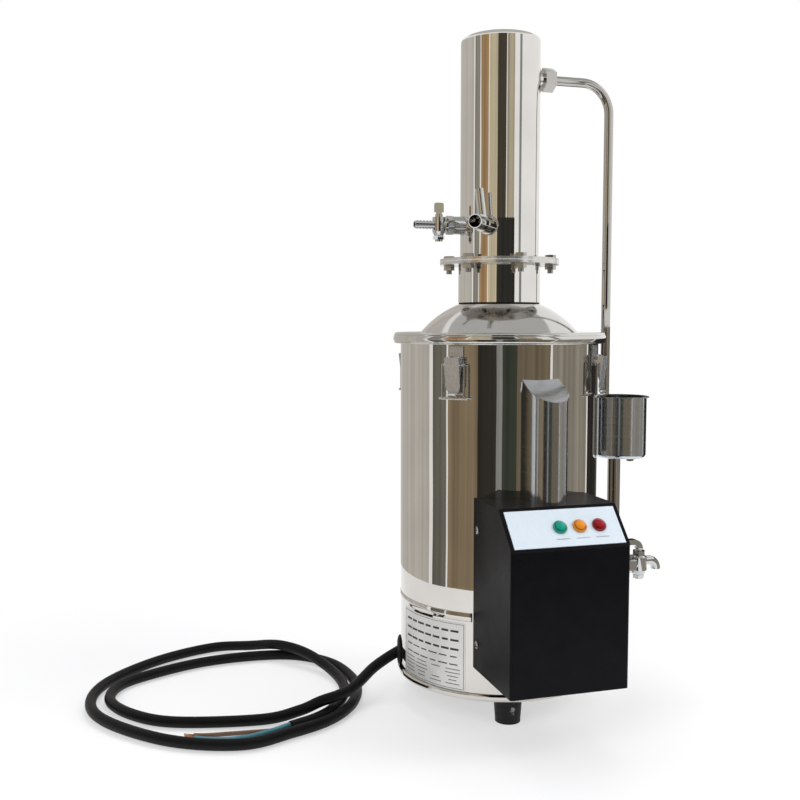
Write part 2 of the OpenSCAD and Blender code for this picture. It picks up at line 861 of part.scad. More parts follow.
// One over-centre lever: a tongue-shaped face plate with two tapering cheeks and a curled finger end.
module clip_lever(k) {
    half = clip_w / 2 + lever_play + lever_t;
    face_half = half + 0.4;
    tip_half = half * 0.62;
    cheek_l = lever_l * 0.7;
    cheek_out = lever_out + lever_t / 2;
    color("gainsboro") at_pin(k) {
        rotate([0, lever_lean, 0]) {
            translate([lever_out, 0, 0]) rotate([90, 0, 90]) linear_extrude(lever_t)
                polygon([[-face_half, lever_head], [face_half, lever_head], [face_half, -lever_l * 0.72],
                    [half * 0.93, -lever_l * 0.83], [tip_half, curl_r - lever_l],
                    [-tip_half, curl_r - lever_l],
                    [-half * 0.93, -lever_l * 0.83], [-face_half, -lever_l * 0.72]]);
            translate([lever_out + curl_r, 0, -lever_l + curl_r]) rotate([90, 0, 0])
                linear_extrude(2 * tip_half, center = true) intersection() {
                    difference() {
                        circle(curl_r);
                        circle(curl_r - lever_t);
                    }
                    translate([-curl_r, -curl_r]) square([2 * curl_r, curl_r]);
                }
        }
        for (s = [-1, 1]) difference() {
            translate([0, s * (half - lever_t / 2) + lever_t / 2, 0]) rotate([0, lever_lean, 0])
                rotate([90, 0, 0]) linear_extrude(lever_t) union() {
                    polygon([[-pin_r - 1, 0], [0, lever_head - 0.3], [cheek_out, lever_head - 0.3],
                        [cheek_out, -cheek_l], [bail_out - wire_r - 0.5, -bail_drop - 3]]);
                    circle(pin_r + 1);
                }
            rotate([90, 0, 0]) cylinder(r = pin_r + plug_gap, h = 4 * clip_w, center = true);
            translate([bail_out, 0, -bail_drop]) rotate([90, 0, 0])
                cylinder(r = wire_r + plug_gap, h = 4 * clip_w, center = true);
        }
    }
}

// One wire bail, hooked into the lever's cheeks, with a crossbar that stands out past its legs.
module clip_bail(k) {
    inner = clip_w / 2 + lever_play + lever_t / 2 - 0.2;
    bar_half = bail_half + bail_ear;
    bar_r = wire_r + hole_gap;
    color("white") at_pin(k) translate([bail_out, 0, -bail_drop]) {
        for (s = [-1, 1]) scale([1, s, 1]) {
            translate([0, inner, 0]) rotate([-90, 0, 0]) cylinder(r = wire_r, h = bail_half - inner);
            translate([0, bail_half, 0]) sphere(wire_r);
            translate([0, bail_half, -bail_l]) cylinder(r = wire_r, h = bail_l);
            translate([0, bar_half, -bail_l]) sphere(bar_r);
        }
        translate([0, 0, -bail_l]) rotate([90, 0, 0]) cylinder(r = bar_r, h = 2 * bar_half, center = true);
    }
}

// Lid
rim_round = 3;
rim_bead_r = 1.5;
seat_w = seat_r - neck_r;

module lid_outline() {
    // Dome
    intersection() {
        translate([0, dome_z]) difference() {
            circle(dome_r, $fn = 180);
            circle(dome_r - lid_t, $fn = 180);
        }
        translate([seat_r - lid_t, lid_z - lid_t]) square([dome_base_r - seat_r + lid_t, dome_r]);
    }
    // Level seat and neck
    translate([neck_r - lid_t, seat_z - lid_t]) square([seat_w + lid_t / 2, lid_t]);
    translate([neck_r - lid_t, seat_z - lid_t]) square([lid_t, neck_h + lid_t]);
    // Margin, rounded shoulder, skirt and rolled lower edge
    translate([dome_base_r - 2 * lid_t, lid_z])
        square([lid_r - rim_round - dome_base_r + 2 * lid_t, lid_t]);
    translate([lid_r - rim_round, lid_top_z - rim_round]) intersection() {
        difference() {
            circle(rim_round);
            circle(rim_round - lid_t);
        }
        square(rim_round);
    }
    translate([lid_in_r, skirt_z + rim_bead_r]) square([lid_t, skirt_h - rim_round - rim_bead_r]);
    translate([lid_r - rim_bead_r, skirt_z + rim_bead_r]) circle(rim_bead_r);
}

module lid_dome() {
    color("silver") rotate_extrude() lid_outline();
}

module lid_gasket() {
    color("whitesmoke") translate([0, 0, mouth_z])
        tube(mouth_r - 0.5, drum_in_r - 2, lid_seal_t);
}

baffle_post_r = 2.5;
baffle_lip = 5;
baffle_posts = 3;
baffle_z = lid_z - baffle_drop;

module splash_baffle() {
    post_x = baffle_r - 3 * baffle_post_r;
    post_top = dome_z + sqrt(pow(dome_r - lid_t, 2) - pow(post_x + baffle_post_r, 2)) - weld_gap;
    color("silver") {
        translate([0, 0, baffle_z]) cylinder(r = baffle_r, h = lid_t);
        translate([0, 0, baffle_z - baffle_lip]) tube(baffle_r, baffle_r - lid_t, baffle_lip + lid_t / 2);
        for (k = [0:baffle_posts - 1]) facing(360 / baffle_posts * (k + 0.25))
            translate([post_x, 0, baffle_z]) cylinder(r = baffle_post_r, h = post_top - baffle_z);
    }
}

module neck_seal() {
    color([0.1, 0.1, 0.1]) translate([0, 0, seat_z])
        tube(collar_r - 0.5, neck_r + hole_gap, neck_seal_t);
}

// Condenser
collar_z = joint_z - collar_h;

module at_bolts() {
    for (k = [0:bolt_count - 1]) facing(bolt_angle + 360 / bolt_count * k)
        translate([bolt_circle_r, 0, 0]) children();
}

bolt_r = 3;
bolt_flats = 10;
bolt_head_h = 4;
nut_h = 5;
bolt_tail = 4;

module flange_plate(inner_r, h) {
    difference() {
        tube(flange_r, inner_r, h);
        at_bolts() translate([0, 0, -1]) cylinder(r = bolt_r + loose_gap, h = h + 2);
    }
}

module condenser_collar() {
    color("silver") {
        translate([0, 0, collar_z]) tube(collar_r, collar_in_r, collar_h);
        translate([0, 0, collar_z]) tube(collar_r, neck_r + hole_gap, jacket_t);
    }
}

module lower_flange() {
    color("silver") translate([0, 0, joint_z - flange_t]) flange_plate(collar_r + loose_gap, flange_t);
}

module upper_flange() {
    color("silver") translate([0, 0, jacket_z]) flange_plate(jacket_r + loose_gap, flange_t);
}

module flange_gasket() {
    color([0.75, 0.72, 0.68]) translate([0, 0, joint_z]) flange_plate(collar_in_r, flange_seal_t);
}

stub_r = 7;
stub_x = jacket_r + 9;
nut_x = jacket_r + 6;
union_nut_flats = 22;
union_nut_l = 12;

module condenser_jacket() {
    color("silver") difference() {
        union() {
            translate([0, 0, jacket_top_z]) mirror([0, 0, 1]) rotate_extrude() difference() {
                vessel_outline(jacket_r, jacket_h, jacket_round);
                translate([0, jacket_t]) vessel_outline(jacket_in_r, jacket_h, jacket_round - jacket_t);
            }
            translate([0, 0, union_z]) difference() {
                rod_x(stub_r, jacket_in_r + 0.5, stub_x);
                cylinder(r = jacket_in_r, h = 4 * stub_r, center = true);
            }
        }
        translate([0, 0, union_z]) rod_x(return_r - 1, 0, stub_x + 1);
        translate([0, 0, port_z]) facing(-90) rod_x(boss_r - 1.5, 0, jacket_r + 1);
        translate([0, 0, outlet_z]) facing(outlet_angle) rod_x(outlet_r + weld_gap, 0, jacket_r + 1);
    }
}

gutter_w = 6;

// The inner steam vessel: a closed sleeve on a ring that closes the water jacket's foot.
module condenser_core() {
    core_top = jacket_top_z - 22;
    ring_r = jacket_in_r - loose_gap;
    color("gainsboro") difference() {
        union() {
            translate([0, 0, jacket_z]) tube(ring_r, core_r - 1, 2);
            translate([0, 0, core_top]) mirror([0, 0, 1]) rotate_extrude() difference() {
                vessel_outline(core_r, core_top - jacket_z, 8);
                translate([0, 1]) vessel_outline(core_r - 1, core_top - jacket_z, 7);
            }
            translate([0, 0, outlet_z - outlet_r - 2]) tube(core_r, core_r - gutter_w, 1);
            translate([0, 0, outlet_z - outlet_r - 2]) tube(core_r - gutter_w + 1, core_r - gutter_w, 9);
        }
        translate([0, 0, outlet_z]) facing(outlet_angle) rod_x(outlet_r + weld_gap, core_r - 2, jacket_r);
    }
}

module flange_bolts() {
    under = flange_t * 2 + flange_seal_t + nut_h + bolt_tail;
    color("gray") at_bolts() {
        translate([0, 0, jacket_z + flange_t]) hex(bolt_flats, bolt_head_h);
        translate([0, 0, jacket_z + flange_t - under]) cylinder(r = bolt_r, h = under);
    }
}

module flange_nuts() {
    color("gray") at_bolts() translate([0, 0, joint_z - flange_t - nut_h]) difference() {
        hex(bolt_flats, nut_h);
        translate([0, 0, -1]) cylinder(r = bolt_r + weld_gap, h = nut_h + 2);
    }
}

barrel_r = 6.8;
barrel_up = 8;
barrel_down = 11;
coupling_flats = 17;
coupling_l = 7;
water_r = 2.6;

// Inlet cock: welded boss, hexagon coupling, upright plug barrel and a ribbed hose tail.
module inlet_cock_body() {
    barrel_x = inlet_reach;
    coupling_x = barrel_x - barrel_r - coupling_l - 1;
    tail_x = barrel_x + barrel_r - 1;
    rib = barb_l / barb_count;
    color("gainsboro") translate([0, 0, port_z]) facing(-90) difference() {
        union() {
            difference() {
                rod_x(boss_r, jacket_r - 3, coupling_x);
                cylinder(r = jacket_r + loose_gap, h = 4 * boss_r, center = true);
            }
            translate([coupling_x, 0, 0]) rotate([0, 90, 0]) hex(coupling_flats, coupling_l);
            rod_x(barrel_r - 1, coupling_x, barrel_x);
            translate([barrel_x, 0, 4 - barrel_down]) cylinder(r = barrel_r, h = barrel_up + barrel_down - 4);
            translate([barrel_x, 0, -barrel_down]) cylinder(r1 = barrel_r - 2, r2 = barrel_r, h = 4);
            rod_x(barb_r, barrel_x, tail_x + barb_l);
            for (k = [0:barb_count - 1]) translate([tail_x + rib * k, 0, 0]) rotate([0, 90, 0])
                cylinder(r1 = barb_r + 0.9, r2 = barb_r - 0.1, h = rib);
        }
        rod_x(boss_r - 1.5, 0, coupling_x - 2);
        rod_x(water_r, 0, tail_x + barb_l + 1);
        translate([barrel_x, 0, -barrel_down - 1])
            cylinder(r = plug_r + plug_gap, h = barrel_up + barrel_down + 2);
    }
}

wing_w = 10;
wing_h = 13;
wing_t = 2.4;

module inlet_cock_plug() {
    neck_top = barrel_up + 3;
    color("gainsboro") translate([0, 0, port_z]) facing(-90) translate([inlet_reach, 0, 0]) {
        difference() {
            translate([0, 0, -barrel_down - loose_gap - plug_nut_h - 2])
                cylinder(r = plug_r, h = barrel_down + loose_gap + plug_nut_h + 2 + neck_top);
            rotate([0, 90, 0]) cylinder(r = water_r, h = 4 * plug_r, center = true);
        }
        translate([0, 0, -barrel_down - loose_gap - plug_nut_h]) hex(2 * plug_r + 3, plug_nut_h);
        translate([0, 0, neck_top - 1]) rotate([90, 0, 0]) linear_extrude(wing_t, center = true) {
            translate([-wing_w / 2 + 2, 0]) square([wing_w - 4, wing_h]);
            translate([-wing_w / 2, 3]) square([wing_w, wing_h - 5]);
            for (s = [-1, 1]) translate([s * (wing_w / 2 - 2), wing_h - 2]) circle(2);
        }
    }
}

outlet_t = 0.9;
tee_wall = 1.5;

// Outlet tube with a stouter tee at the column, a weld ring and a vent tube that leans a little.
module distillate_outlet() {
    ring_l = 4;
    vent_x = jacket_r + 0.4 * (outlet_reach - jacket_r);
    color("gainsboro") translate([0, 0, outlet_z]) facing(outlet_angle) difference() {
        union() {
            rod_x(outlet_r, core_r - 1, outlet_reach);
            difference() {
                rod_x(outlet_r + 2.6, jacket_r - 3, jacket_r + ring_l);
                cylinder(r = jacket_r + loose_gap, h = 6 * outlet_r, center = true);
            }
            rod_x(outlet_r + tee_wall, jacket_r + 1, vent_x + vent_r + 2);
            translate([vent_x, 0, 0]) rotate([vent_lean, 0, 0]) cylinder(r = vent_r, h = vent_h);
        }
        rod_x(outlet_r - outlet_t, 0, outlet_reach + 1);
        translate([vent_x, 0, 0]) rotate([vent_lean, 0, 0]) cylinder(r = vent_r - outlet_t, h = vent_h + 1);
    }
}

module union_nut() {
    color("gainsboro") translate([nut_x, 0, union_z]) rotate([0, 90, 0]) difference() {
        hex(union_nut_flats, union_nut_l);
        translate([0, 0, -1]) cylinder(r = stub_r + weld_gap, h = stub_x - nut_x + 2);
        translate([0, 0, -1]) cylinder(r = return_r + weld_gap, h = union_nut_l + 2);
    }
}

return_end_z = cup_z + 0.62 * cup_h;

module return_route(r, z0) {
    turn_x = return_x - return_bend_r;
    translate([0, 0, union_z]) {
        rod_x(r, stub_x, turn_x);
        translate([turn_x, 0, -return_bend_r]) rotate([90, 0, 0])
            rotate_extrude(angle = 90) translate([return_bend_r, 0]) circle(r);
    }
    translate([return_x, 0, z0]) cylinder(r = r, h = union_z - return_bend_r - z0);
}

module return_pipe() {
    color("silver") difference() {
        return_route(return_r, return_end_z);
        return_route(return_r - 1, return_end_z - 1);
        translate([0, 0, union_z]) rod_x(return_r - 1, stub_x - 1, stub_x + 1);
    }
}

// Cord
// Route of the mains cord from inside the base, out through the grommet and round two loose loops
cord_route = [[-87, 31, 54], [-100, 32, 48], [-117, 31, 40], [-134, 24, 33], [-150, 11, 26.5],
    [-165, -2, 22], [-181, -10.5, 20.2], [-200, -15.5, 18], [-223, -16.5, 11], [-262, -17.5, 6.5],
    [-345, 0.5, 6.4], [-387, 34, 6.4], [-408, 80, 6.4], [-396, 124, 6.4], [-355, 153, 6.4],
    [-300, 175, 6.4], [-240, 179.5, 6.4], [-192, 167.5, 6.4], [-158, 130, 6.4], [-145.5, 80, 6.4],
    [-149, 35, 6.4], [-167, -7, 6.4], [-197, -38, 6.4], [-238, -57.5, 6.4], [-288, -72, 6.4],
    [-354, -44, 6.4], [-411, 20, 6.4], [-428, 78, 6.4], [-410, 137, 6.4], [-354, 194, 6.4],
    [-288, 225, 6.5], [-242, 207, 10.9], [-212, 175, 19.1], [-186, 145, 17.2], [-167, 111, 10.2],
    [-159, 70, 6.5], [-164.5, 31, 6.4], [-185.5, -8.5, 6.4], [-207, -29.3, 6.4], [-236, -43.5, 6.4]];
// Routes of the three bare cores from the end of the jacket
green_route = [[-235.7, -46.1, 4.8], [-254, -52, 3.2], [-277, -54, 2.6], [-300, -54, 2.6],
    [-318, -47, 2.6], [-330, -40, 2.6]];
blue_route = [[-237.2, -44.1, 9.4], [-254, -46.5, 6.4], [-277, -47, 3], [-300, -46.5, 2.6],
    [-318, -41, 2.6], [-330, -34.3, 2.6]];
brown_route = [[-239.3, -42, 4.8], [-254, -40, 3.2], [-277, -36.5, 2.6], [-300, -34, 2.6],
    [-318, -32, 2.6], [-330, -28.6, 2.6]];
cord_sides = 10;
core_sides = 8;
core_steps = 3;
copper_r = 1.3;
copper_l = 9;

function unit(v) = v / norm(v);
function before(p, i) = i > 0 ? p[i - 1] : 2 * p[0] - p[1];
function after(p, i) = i + 1 < len(p) ? p[i + 1] : 2 * p[i] - p[i - 1];

// A point on the smooth curve through p, at the fraction t past point i.
function curve(p, i, t) =
    let (a = before(p, i), b = p[i], c = after(p, i), d = after(p, i + 1))
    0.5 * (2 * b + (c - a) * t + (2 * a - 5 * b + 4 * c - d) * t * t + (3 * b - a - 3 * c + d) * t * t * t);

// The curve through p as points, with n steps between neighbours.
function smooth(p, n) =
    concat([for (i = [0:len(p) - 2], k = [0:n - 1]) curve(p, i, k / n)], [p[len(p) - 1]]);

// One closed tube of radius r along the points q, with rings of the given number of sides.
module sweep(q, r, sides) {
    last = len(q) - 1;
    rings = [for (i = [0:last])
        let (t = unit(q[min(i + 1, last)] - q[max(i - 1, 0)]), s = unit(cross(t, [0, 0, 1])), u = cross(s, t))
        for (k = [0:sides - 1]) q[i] + r * (cos(360 * k / sides) * s + sin(360 * k / sides) * u)];
    sides_faces = [for (i = [0:last - 1], k = [0:sides - 1])
        let (a = i * sides + k, b = i * sides + (k + 1) % sides)
        each [[a, b, b + sides], [a, b + sides, a + sides]]];
    start_face = [for (k = [1:sides - 2]) [0, k + 1, k]];
    end_face = [for (k = [1:sides - 2]) [last * sides, last * sides + k, last * sides + k + 1]];
    polyhedron(rings, concat(sides_faces, start_face, end_face));
}

cord_line = smooth(cord_route, 2);

// Least gap between strands of the cord that lie further apart along it than the skip.
gap_skip = 6;
gap_points = [for (i = [0:len(cord_line) - 2], t = [0, 0.25, 0.5, 0.75])
    cord_line[i] * (1 - t) + cord_line[i + 1] * t];
cord_gap = min([for (i = [0:len(gap_points) - 1], j = [i + 4 * gap_skip:1:len(gap_points) - 1])
    norm(gap_points[i] - gap_points[j])]) - 2 * cord_r;
echo(least_cord_gap = cord_gap);  // power_cord

module power_cord() {
    color([0.1, 0.1, 0.11]) sweep(cord_line, cord_r, cord_sides);
}

module core(route) {
    sweep(smooth(route, core_steps), wire_core_r, core_sides);
}

module core_green() {
    color("teal") core(green_route);
}

module core_blue() {
    color("royalblue") core(blue_route);
}

module core_brown() {
    color("sienna") core(brown_route);
}

module copper_ends() {
    color("peru") for (p = [green_route, blue_route, brown_route]) {
        tip = p[len(p) - 1];
        along = unit(tip - p[len(p) - 2]);
        translate(tip + along * loose_gap) rotate([0, 90, atan2(along[1], along[0])])
            cylinder(r = copper_r, h = copper_l);
    }
}

grommet_out = 4;
grommet_in = 4;
grommet_play = 0.8;

module cable_grommet() {
    lead = cord_route[1] - cord_route[0];
    color([0.09, 0.09, 0.09]) difference() {
        translate([0, 0, grommet_z]) facing(grommet_angle)
            rod_x(grommet_r, drum_in_r - grommet_in, boiler_r + grommet_out);
        difference() {
            translate([0, 0, drum_z]) tube(boiler_r + loose_gap, drum_in_r - loose_gap, floor_up);
            translate([0, 0, grommet_z]) facing(grommet_angle)
                rod_x(grommet_neck_r - loose_gap, 0, 2 * boiler_r);
        }
        cylinder(r = boiler_r, h = drum_z + loose_gap);
        translate([0, 0, foot_h - 1]) tube(2 * boiler_r, boiler_r, bead_h + 1 + loose_gap);
        translate(cord_route[0]) rotate([0, acos(lead[2] / norm(lead)), atan2(lead[1], lead[0])])
            translate([0, 0, -3 * cord_r]) cylinder(r = cord_r + grommet_play, h = 12 * cord_r);
    }
}

boiler_shell();
boiler_floor();
base_plate();
rubber_feet();
foot_screws();
heating_element();
element_nuts();
terminal_block();
control_box();
box_brackets();
box_screws();
lamp_plate();
lamp_green();
lamp_amber();
lamp_red();
lamp_bodies();
power_relay();
level_chamber();
float_stem();
float_ball();
feeder_cup();
overflow_pipe();
feed_pipe();
drain_pipe();
tap_body();
tap_plug();
clip_brackets();
clip_pins();
clip_lever(0);  // clip_lever_1
clip_lever(1);  // clip_lever_2
clip_lever(2);  // clip_lever_3
clip_lever(3);  // clip_lever_4
clip_bail(0);  // clip_bail_1
clip_bail(1);  // clip_bail_2
clip_bail(2);  // clip_bail_3
clip_bail(3);  // clip_bail_4
lid_dome();
lid_gasket();
splash_baffle();
neck_seal();
condenser_collar();
lower_flange();
flange_gasket();
upper_flange();
condenser_jacket();
condenser_core();
flange_bolts();
flange_nuts();
inlet_cock_body();
inlet_cock_plug();
distillate_outlet();
union_nut();
return_pipe();
cable_grommet();
power_cord();
core_green();
core_blue();
core_brown();
copper_ends();
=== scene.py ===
import math

import bmesh
import bpy
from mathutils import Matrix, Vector


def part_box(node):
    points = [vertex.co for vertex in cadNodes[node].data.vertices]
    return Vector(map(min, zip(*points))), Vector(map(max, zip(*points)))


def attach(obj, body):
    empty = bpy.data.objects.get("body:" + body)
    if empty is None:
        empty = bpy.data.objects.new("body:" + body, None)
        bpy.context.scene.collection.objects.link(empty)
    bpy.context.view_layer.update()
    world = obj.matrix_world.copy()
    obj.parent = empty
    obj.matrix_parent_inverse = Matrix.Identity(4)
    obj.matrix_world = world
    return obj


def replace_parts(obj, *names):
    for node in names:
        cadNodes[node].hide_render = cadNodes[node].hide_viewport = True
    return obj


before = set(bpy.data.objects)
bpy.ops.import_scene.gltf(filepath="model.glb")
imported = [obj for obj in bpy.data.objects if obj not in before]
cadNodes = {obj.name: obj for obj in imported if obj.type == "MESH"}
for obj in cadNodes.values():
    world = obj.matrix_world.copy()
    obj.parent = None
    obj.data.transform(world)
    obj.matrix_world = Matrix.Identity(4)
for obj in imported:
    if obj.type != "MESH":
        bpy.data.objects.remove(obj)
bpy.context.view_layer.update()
scene = bpy.context.scene
scene.view_settings.view_transform = "Standard"
print("frame loaded:", len(cadNodes), "nodes")


def placed(name, data):
    made = bpy.data.objects.new(name, data)
    scene.collection.objects.link(made)
    return made


# Camera, solved from the photograph
cameraSet = {"place": (-0.4088, -1.0072, 0.4069), "pitch": 4.401, "heading": 16.505, "angle": 43.33,
             "near": 0.01}


def makeCamera(s):
    data = bpy.data.cameras.new("photoCamera")
    data.sensor_fit = "HORIZONTAL"
    data.angle = math.radians(s["angle"])
    data.clip_start = s["near"]
    cam = placed("photoCamera", data)
    cam.location = s["place"]
    cam.rotation_euler = (math.radians(90 - s["pitch"]), 0, math.radians(-s["heading"]))
    scene.camera = cam


makeCamera(cameraSet)
print("camera placed")

# Materials
noiseSpan = (0.3, 0.7)  # most values of a noise texture lie in it


class Finish:
    def __init__(self, name, **sockets):
        self.material = bpy.data.materials.new(name)
        self.material.use_nodes = True
        self.tree = self.material.node_tree
        self.shader = self.tree.nodes["Principled BSDF"]
        self.coords = self.tree.nodes.new("ShaderNodeTexCoord").outputs["Object"]
        for key, value in sockets.items():
            self.shader.inputs[key.replace("_", " ")].default_value = value

    def node(self, kind, **values):
        made = self.tree.nodes.new(kind)
        for key, value in values.items():
            if key in made.inputs:
                made.inputs[key].default_value = value
            else:
                setattr(made, key, value)
        return made

    def link(self, a, b):
        self.tree.links.new(a, b)

    def noise(self, scale, detail=3.0, stretch=(1, 1, 1), roughness=0.5):
        mapping = self.node("ShaderNodeMapping", Scale=stretch)
        self.link(self.coords, mapping.inputs["Vector"])
        made = self.node("ShaderNodeTexNoise", Scale=scale, Detail=detail, Roughness=roughness)
        self.link(mapping.outputs["Vector"], made.inputs["Vector"])
        return made.outputs["Fac"]

    def ranged(self, value, low, high, fromLow=noiseSpan[0], fromHigh=noiseSpan[1]):
        made = self.node("ShaderNodeMapRange")
        made.inputs["From Min"].default_value = fromLow
        made.inputs["From Max"].default_value = fromHigh
        made.inputs["To Min"].default_value = low
        made.inputs["To Max"].default_value = high
        self.link(value, made.inputs["Value"])
        return made.outputs["Result"]

    def total(self, a, b):
        made = self.node("ShaderNodeMath", operation="ADD")
        self.link(a, made.inputs[0])
        self.link(b, made.inputs[1])
        return made.outputs[0]

    def tint(self, value, dark, light):
        ramp = self.node("ShaderNodeValToRGB")
        stops = ramp.color_ramp.elements
        stops[0].position, stops[1].position = noiseSpan
        stops[0].color = (*dark, 1)
        stops[1].color = (*light, 1)
        self.link(value, ramp.inputs["Fac"])
        self.link(ramp.outputs["Color"], self.shader.inputs["Base Color"])

    def fleck(self, mask, pale):
        mix = self.node("ShaderNodeMix", data_type="RGBA")
        self.link(mask, mix.inputs["Factor"])
        self.link(self.shader.inputs["Base Color"].links[0].from_socket, mix.inputs["A"])
        mix.inputs["B"].default_value = (*pale, 1)
        self.link(mix.outputs["Result"], self.shader.inputs["Base Color"])

    def rough(self, value):
        self.link(value, self.shader.inputs["Roughness"])

    def bump(self, value, strength, distance, under=None):
        made = self.node("ShaderNodeBump", Strength=strength, Distance=distance)
        self.link(value, made.inputs["Height"])
        if under:
            self.link(under, made.inputs["Normal"])
        self.link(made.outputs["Normal"], self.shader.inputs["Normal"])
        return made.outputs["Normal"]


# Polished sheet: rolled waviness, faint polishing lines and soft smudges from handling. A wall that is given
# the radius of its inside is left satin there.
steelSet = {"mottle": 22, "dark": 0.955, "light": 1.03, "lineRough": (0.7, 1.4), "lineDepth": 0.0004,
            "smudges": 14, "smudgeSpan": (0.52, 0.78), "waves": 9, "waveDepth": 0.004,
            "edge": 0.0002, "satin": 0.34, "satinMetal": 0.5}


def steelFinish(name, base, smooth, wave, lines, cut=0.006, smudge=0.03, metal=1.0, inside=None):
    s = steelSet
    f = Finish(name, Metallic=metal)
    dark = tuple(c * s["dark"] for c in base)
    light = tuple(min(1, c * s["light"]) for c in base)
    f.tint(f.noise(s["mottle"], 4), dark, light)
    polish = f.noise(1.0, 4, lines, 0.6)
    marks = f.ranged(f.noise(s["smudges"], 5, roughness=0.65), 0.0, smudge, *s["smudgeSpan"])
    rough = f.total(f.ranged(polish, *(smooth * share for share in s["lineRough"])), marks)
    if inside:
        split = f.node("ShaderNodeSeparateXYZ")
        flat = f.node("ShaderNodeCombineXYZ")
        away = f.node("ShaderNodeVectorMath", operation="LENGTH")
        f.link(f.coords, split.inputs[0])
        f.link(split.outputs["X"], flat.inputs["X"])
        f.link(split.outputs["Y"], flat.inputs["Y"])
        f.link(flat.outputs[0], away.inputs[0])
        within = f.ranged(away.outputs["Value"], 1, 0, inside - s["edge"], inside + s["edge"])
        rough = f.total(rough, f.ranged(within, 0, s["satin"], 0, 1))
        f.link(f.ranged(within, metal, s["satinMetal"], 0, 1), f.shader.inputs["Metallic"])
    f.rough(rough)
    rolled = f.bump(f.noise(s["waves"], 1), wave, s["waveDepth"])
    f.bump(polish, cut, s["lineDepth"], rolled)
    return f.material


# Moulded, painted and rubber surfaces: fine grain with rubbed patches, and pale scuffs where asked for
mouldedSet = {"mottle": 60, "scuffs": 95, "scuffSpan": (0.66, 0.69), "scuffCover": 0.7,
              "scuffTone": (0.42, 0.42, 0.40), "wear": 11, "wearRough": (-0.05, 0.08)}


def mouldedFinish(name, base, low, high, grain, depth, strength=0.25, gloss=0.5, mottle=0.16, scuffs=False):
    s = mouldedSet
    f = Finish(name, Specular_IOR_Level=gloss)
    dark = tuple(c * (1 - mottle) for c in base)
    light = tuple(min(1, c * (1 + mottle)) for c in base)
    f.tint(f.noise(s["mottle"], 4), dark, light)
    if scuffs:
        spots = f.noise(s["scuffs"], 4, roughness=0.75)
        f.fleck(f.ranged(spots, 0, s["scuffCover"], *s["scuffSpan"]), s["scuffTone"])
    speck = f.noise(grain, 2)
    worn = f.ranged(f.noise(s["wear"], 5, roughness=0.7), *s["wearRough"])
    f.rough(f.total(f.ranged(speck, low, high), worn))
    f.bump(speck, strength, depth)
    return f.material


drumSteel = steelFinish("drumSteel", (0.66, 0.638, 0.602), 0.018, 0.16, (3, 3, 420), inside=0.1044)
columnSteel = steelFinish("columnSteel", (0.72, 0.70, 0.665), 0.014, 0.10, (3, 3, 520))
lidSteel = steelFinish("lidSteel", (0.64, 0.628, 0.605), 0.085, 0.10, (60, 60, 200), 0.004)
chamberSteel = steelFinish("chamberSteel", (0.615, 0.65, 0.70), 0.15, 0.12, (3, 3, 420), 0.004)
flangeSteel = steelFinish("flangeSteel", (0.64, 0.628, 0.605), 0.20, 0.04, (25, 25, 220), 0.004, 0.03, 0.88)
pipeSteel = steelFinish("pipeSteel", (0.50, 0.488, 0.465), 0.04, 0.05, (220, 220, 30), 0.001)
clipSteel = steelFinish("clipSteel", (0.66, 0.664, 0.66), 0.10, 0.10, (60, 60, 420), 0.008, 0.04, 0.74)
castChrome = steelFinish("castChrome", (0.61, 0.62, 0.628), 0.035, 0.2, (240, 240, 240), 0.004)
boltSteel = steelFinish("boltSteel", (0.42, 0.41, 0.395), 0.17, 0.05, (400, 400, 400), 0.03)
weldSteel = steelFinish("weldSteel", (0.60, 0.57, 0.52), 0.26, 0.1, (300, 300, 300), 0.05)
heaterSteel = steelFinish("heaterSteel", (0.42, 0.40, 0.37), 0.32, 0.05, (300, 300, 300), 0.05)
labelFoil = steelFinish("labelFoil", (0.72, 0.71, 0.69), 0.36, 0.03, (900, 900, 60), 0.004, 0.05, 0.5)
brassNut = steelFinish("brassNut", (0.72, 0.56, 0.27), 0.25, 0.05, (300, 300, 300), 0.03)
bareCopper = steelFinish("bareCopper", (0.80, 0.43, 0.25), 0.22, 0.05, (900, 900, 900), 0.03)
blackPowder = mouldedFinish("blackPowder", (0.0042, 0.0042, 0.0054), 0.27, 0.36, 900, 0.0003, 0.1, 0.08)
blackRubber = mouldedFinish("blackRubber", (0.0075, 0.0075, 0.008), 0.5, 0.7, 420, 0.0006, 0.25, 0.3)
footRubber = mouldedFinish("footRubber", (0.0065, 0.0065, 0.007), 0.45, 0.65, 420, 0.0006, 0.25, 0.3,
                           scuffs=True)
cordRubber = mouldedFinish("cordRubber", (0.0035, 0.0035, 0.004), 0.4, 0.55, 600, 0.0004, 0.25, 0.2)
paleSeal = mouldedFinish("paleSeal", (0.62, 0.60, 0.56), 0.5, 0.7, 300, 0.0005)
whitePlastic = mouldedFinish("whitePlastic", (0.74, 0.74, 0.71), 0.35, 0.5, 700, 0.0003)
panelEnamel = mouldedFinish("panelEnamel", (0.575, 0.64, 0.70), 0.22, 0.32, 1200, 0.0001, 0.1, 0.3, 0.02)
greenCore = mouldedFinish("greenCore", (0.012, 0.055, 0.045), 0.3, 0.42, 500, 0.0003)
blueCore = mouldedFinish("blueCore", (0.06, 0.19, 0.235), 0.3, 0.42, 500, 0.0003)
brownCore = mouldedFinish("brownCore", (0.13, 0.075, 0.045), 0.3, 0.42, 500, 0.0003)
labelInk = mouldedFinish("labelInk", (0.03, 0.03, 0.032), 0.4, 0.5, 900, 0.0001, 0.1, 0.3)
captionInk = mouldedFinish("captionInk", (0.34, 0.38, 0.42), 0.4, 0.5, 900, 0.0001, 0.1, 0.3)
recessShade = mouldedFinish("recessShade", (0.015, 0.015, 0.015), 0.5, 0.6, 700, 0.0002, 0.2, 0.2)


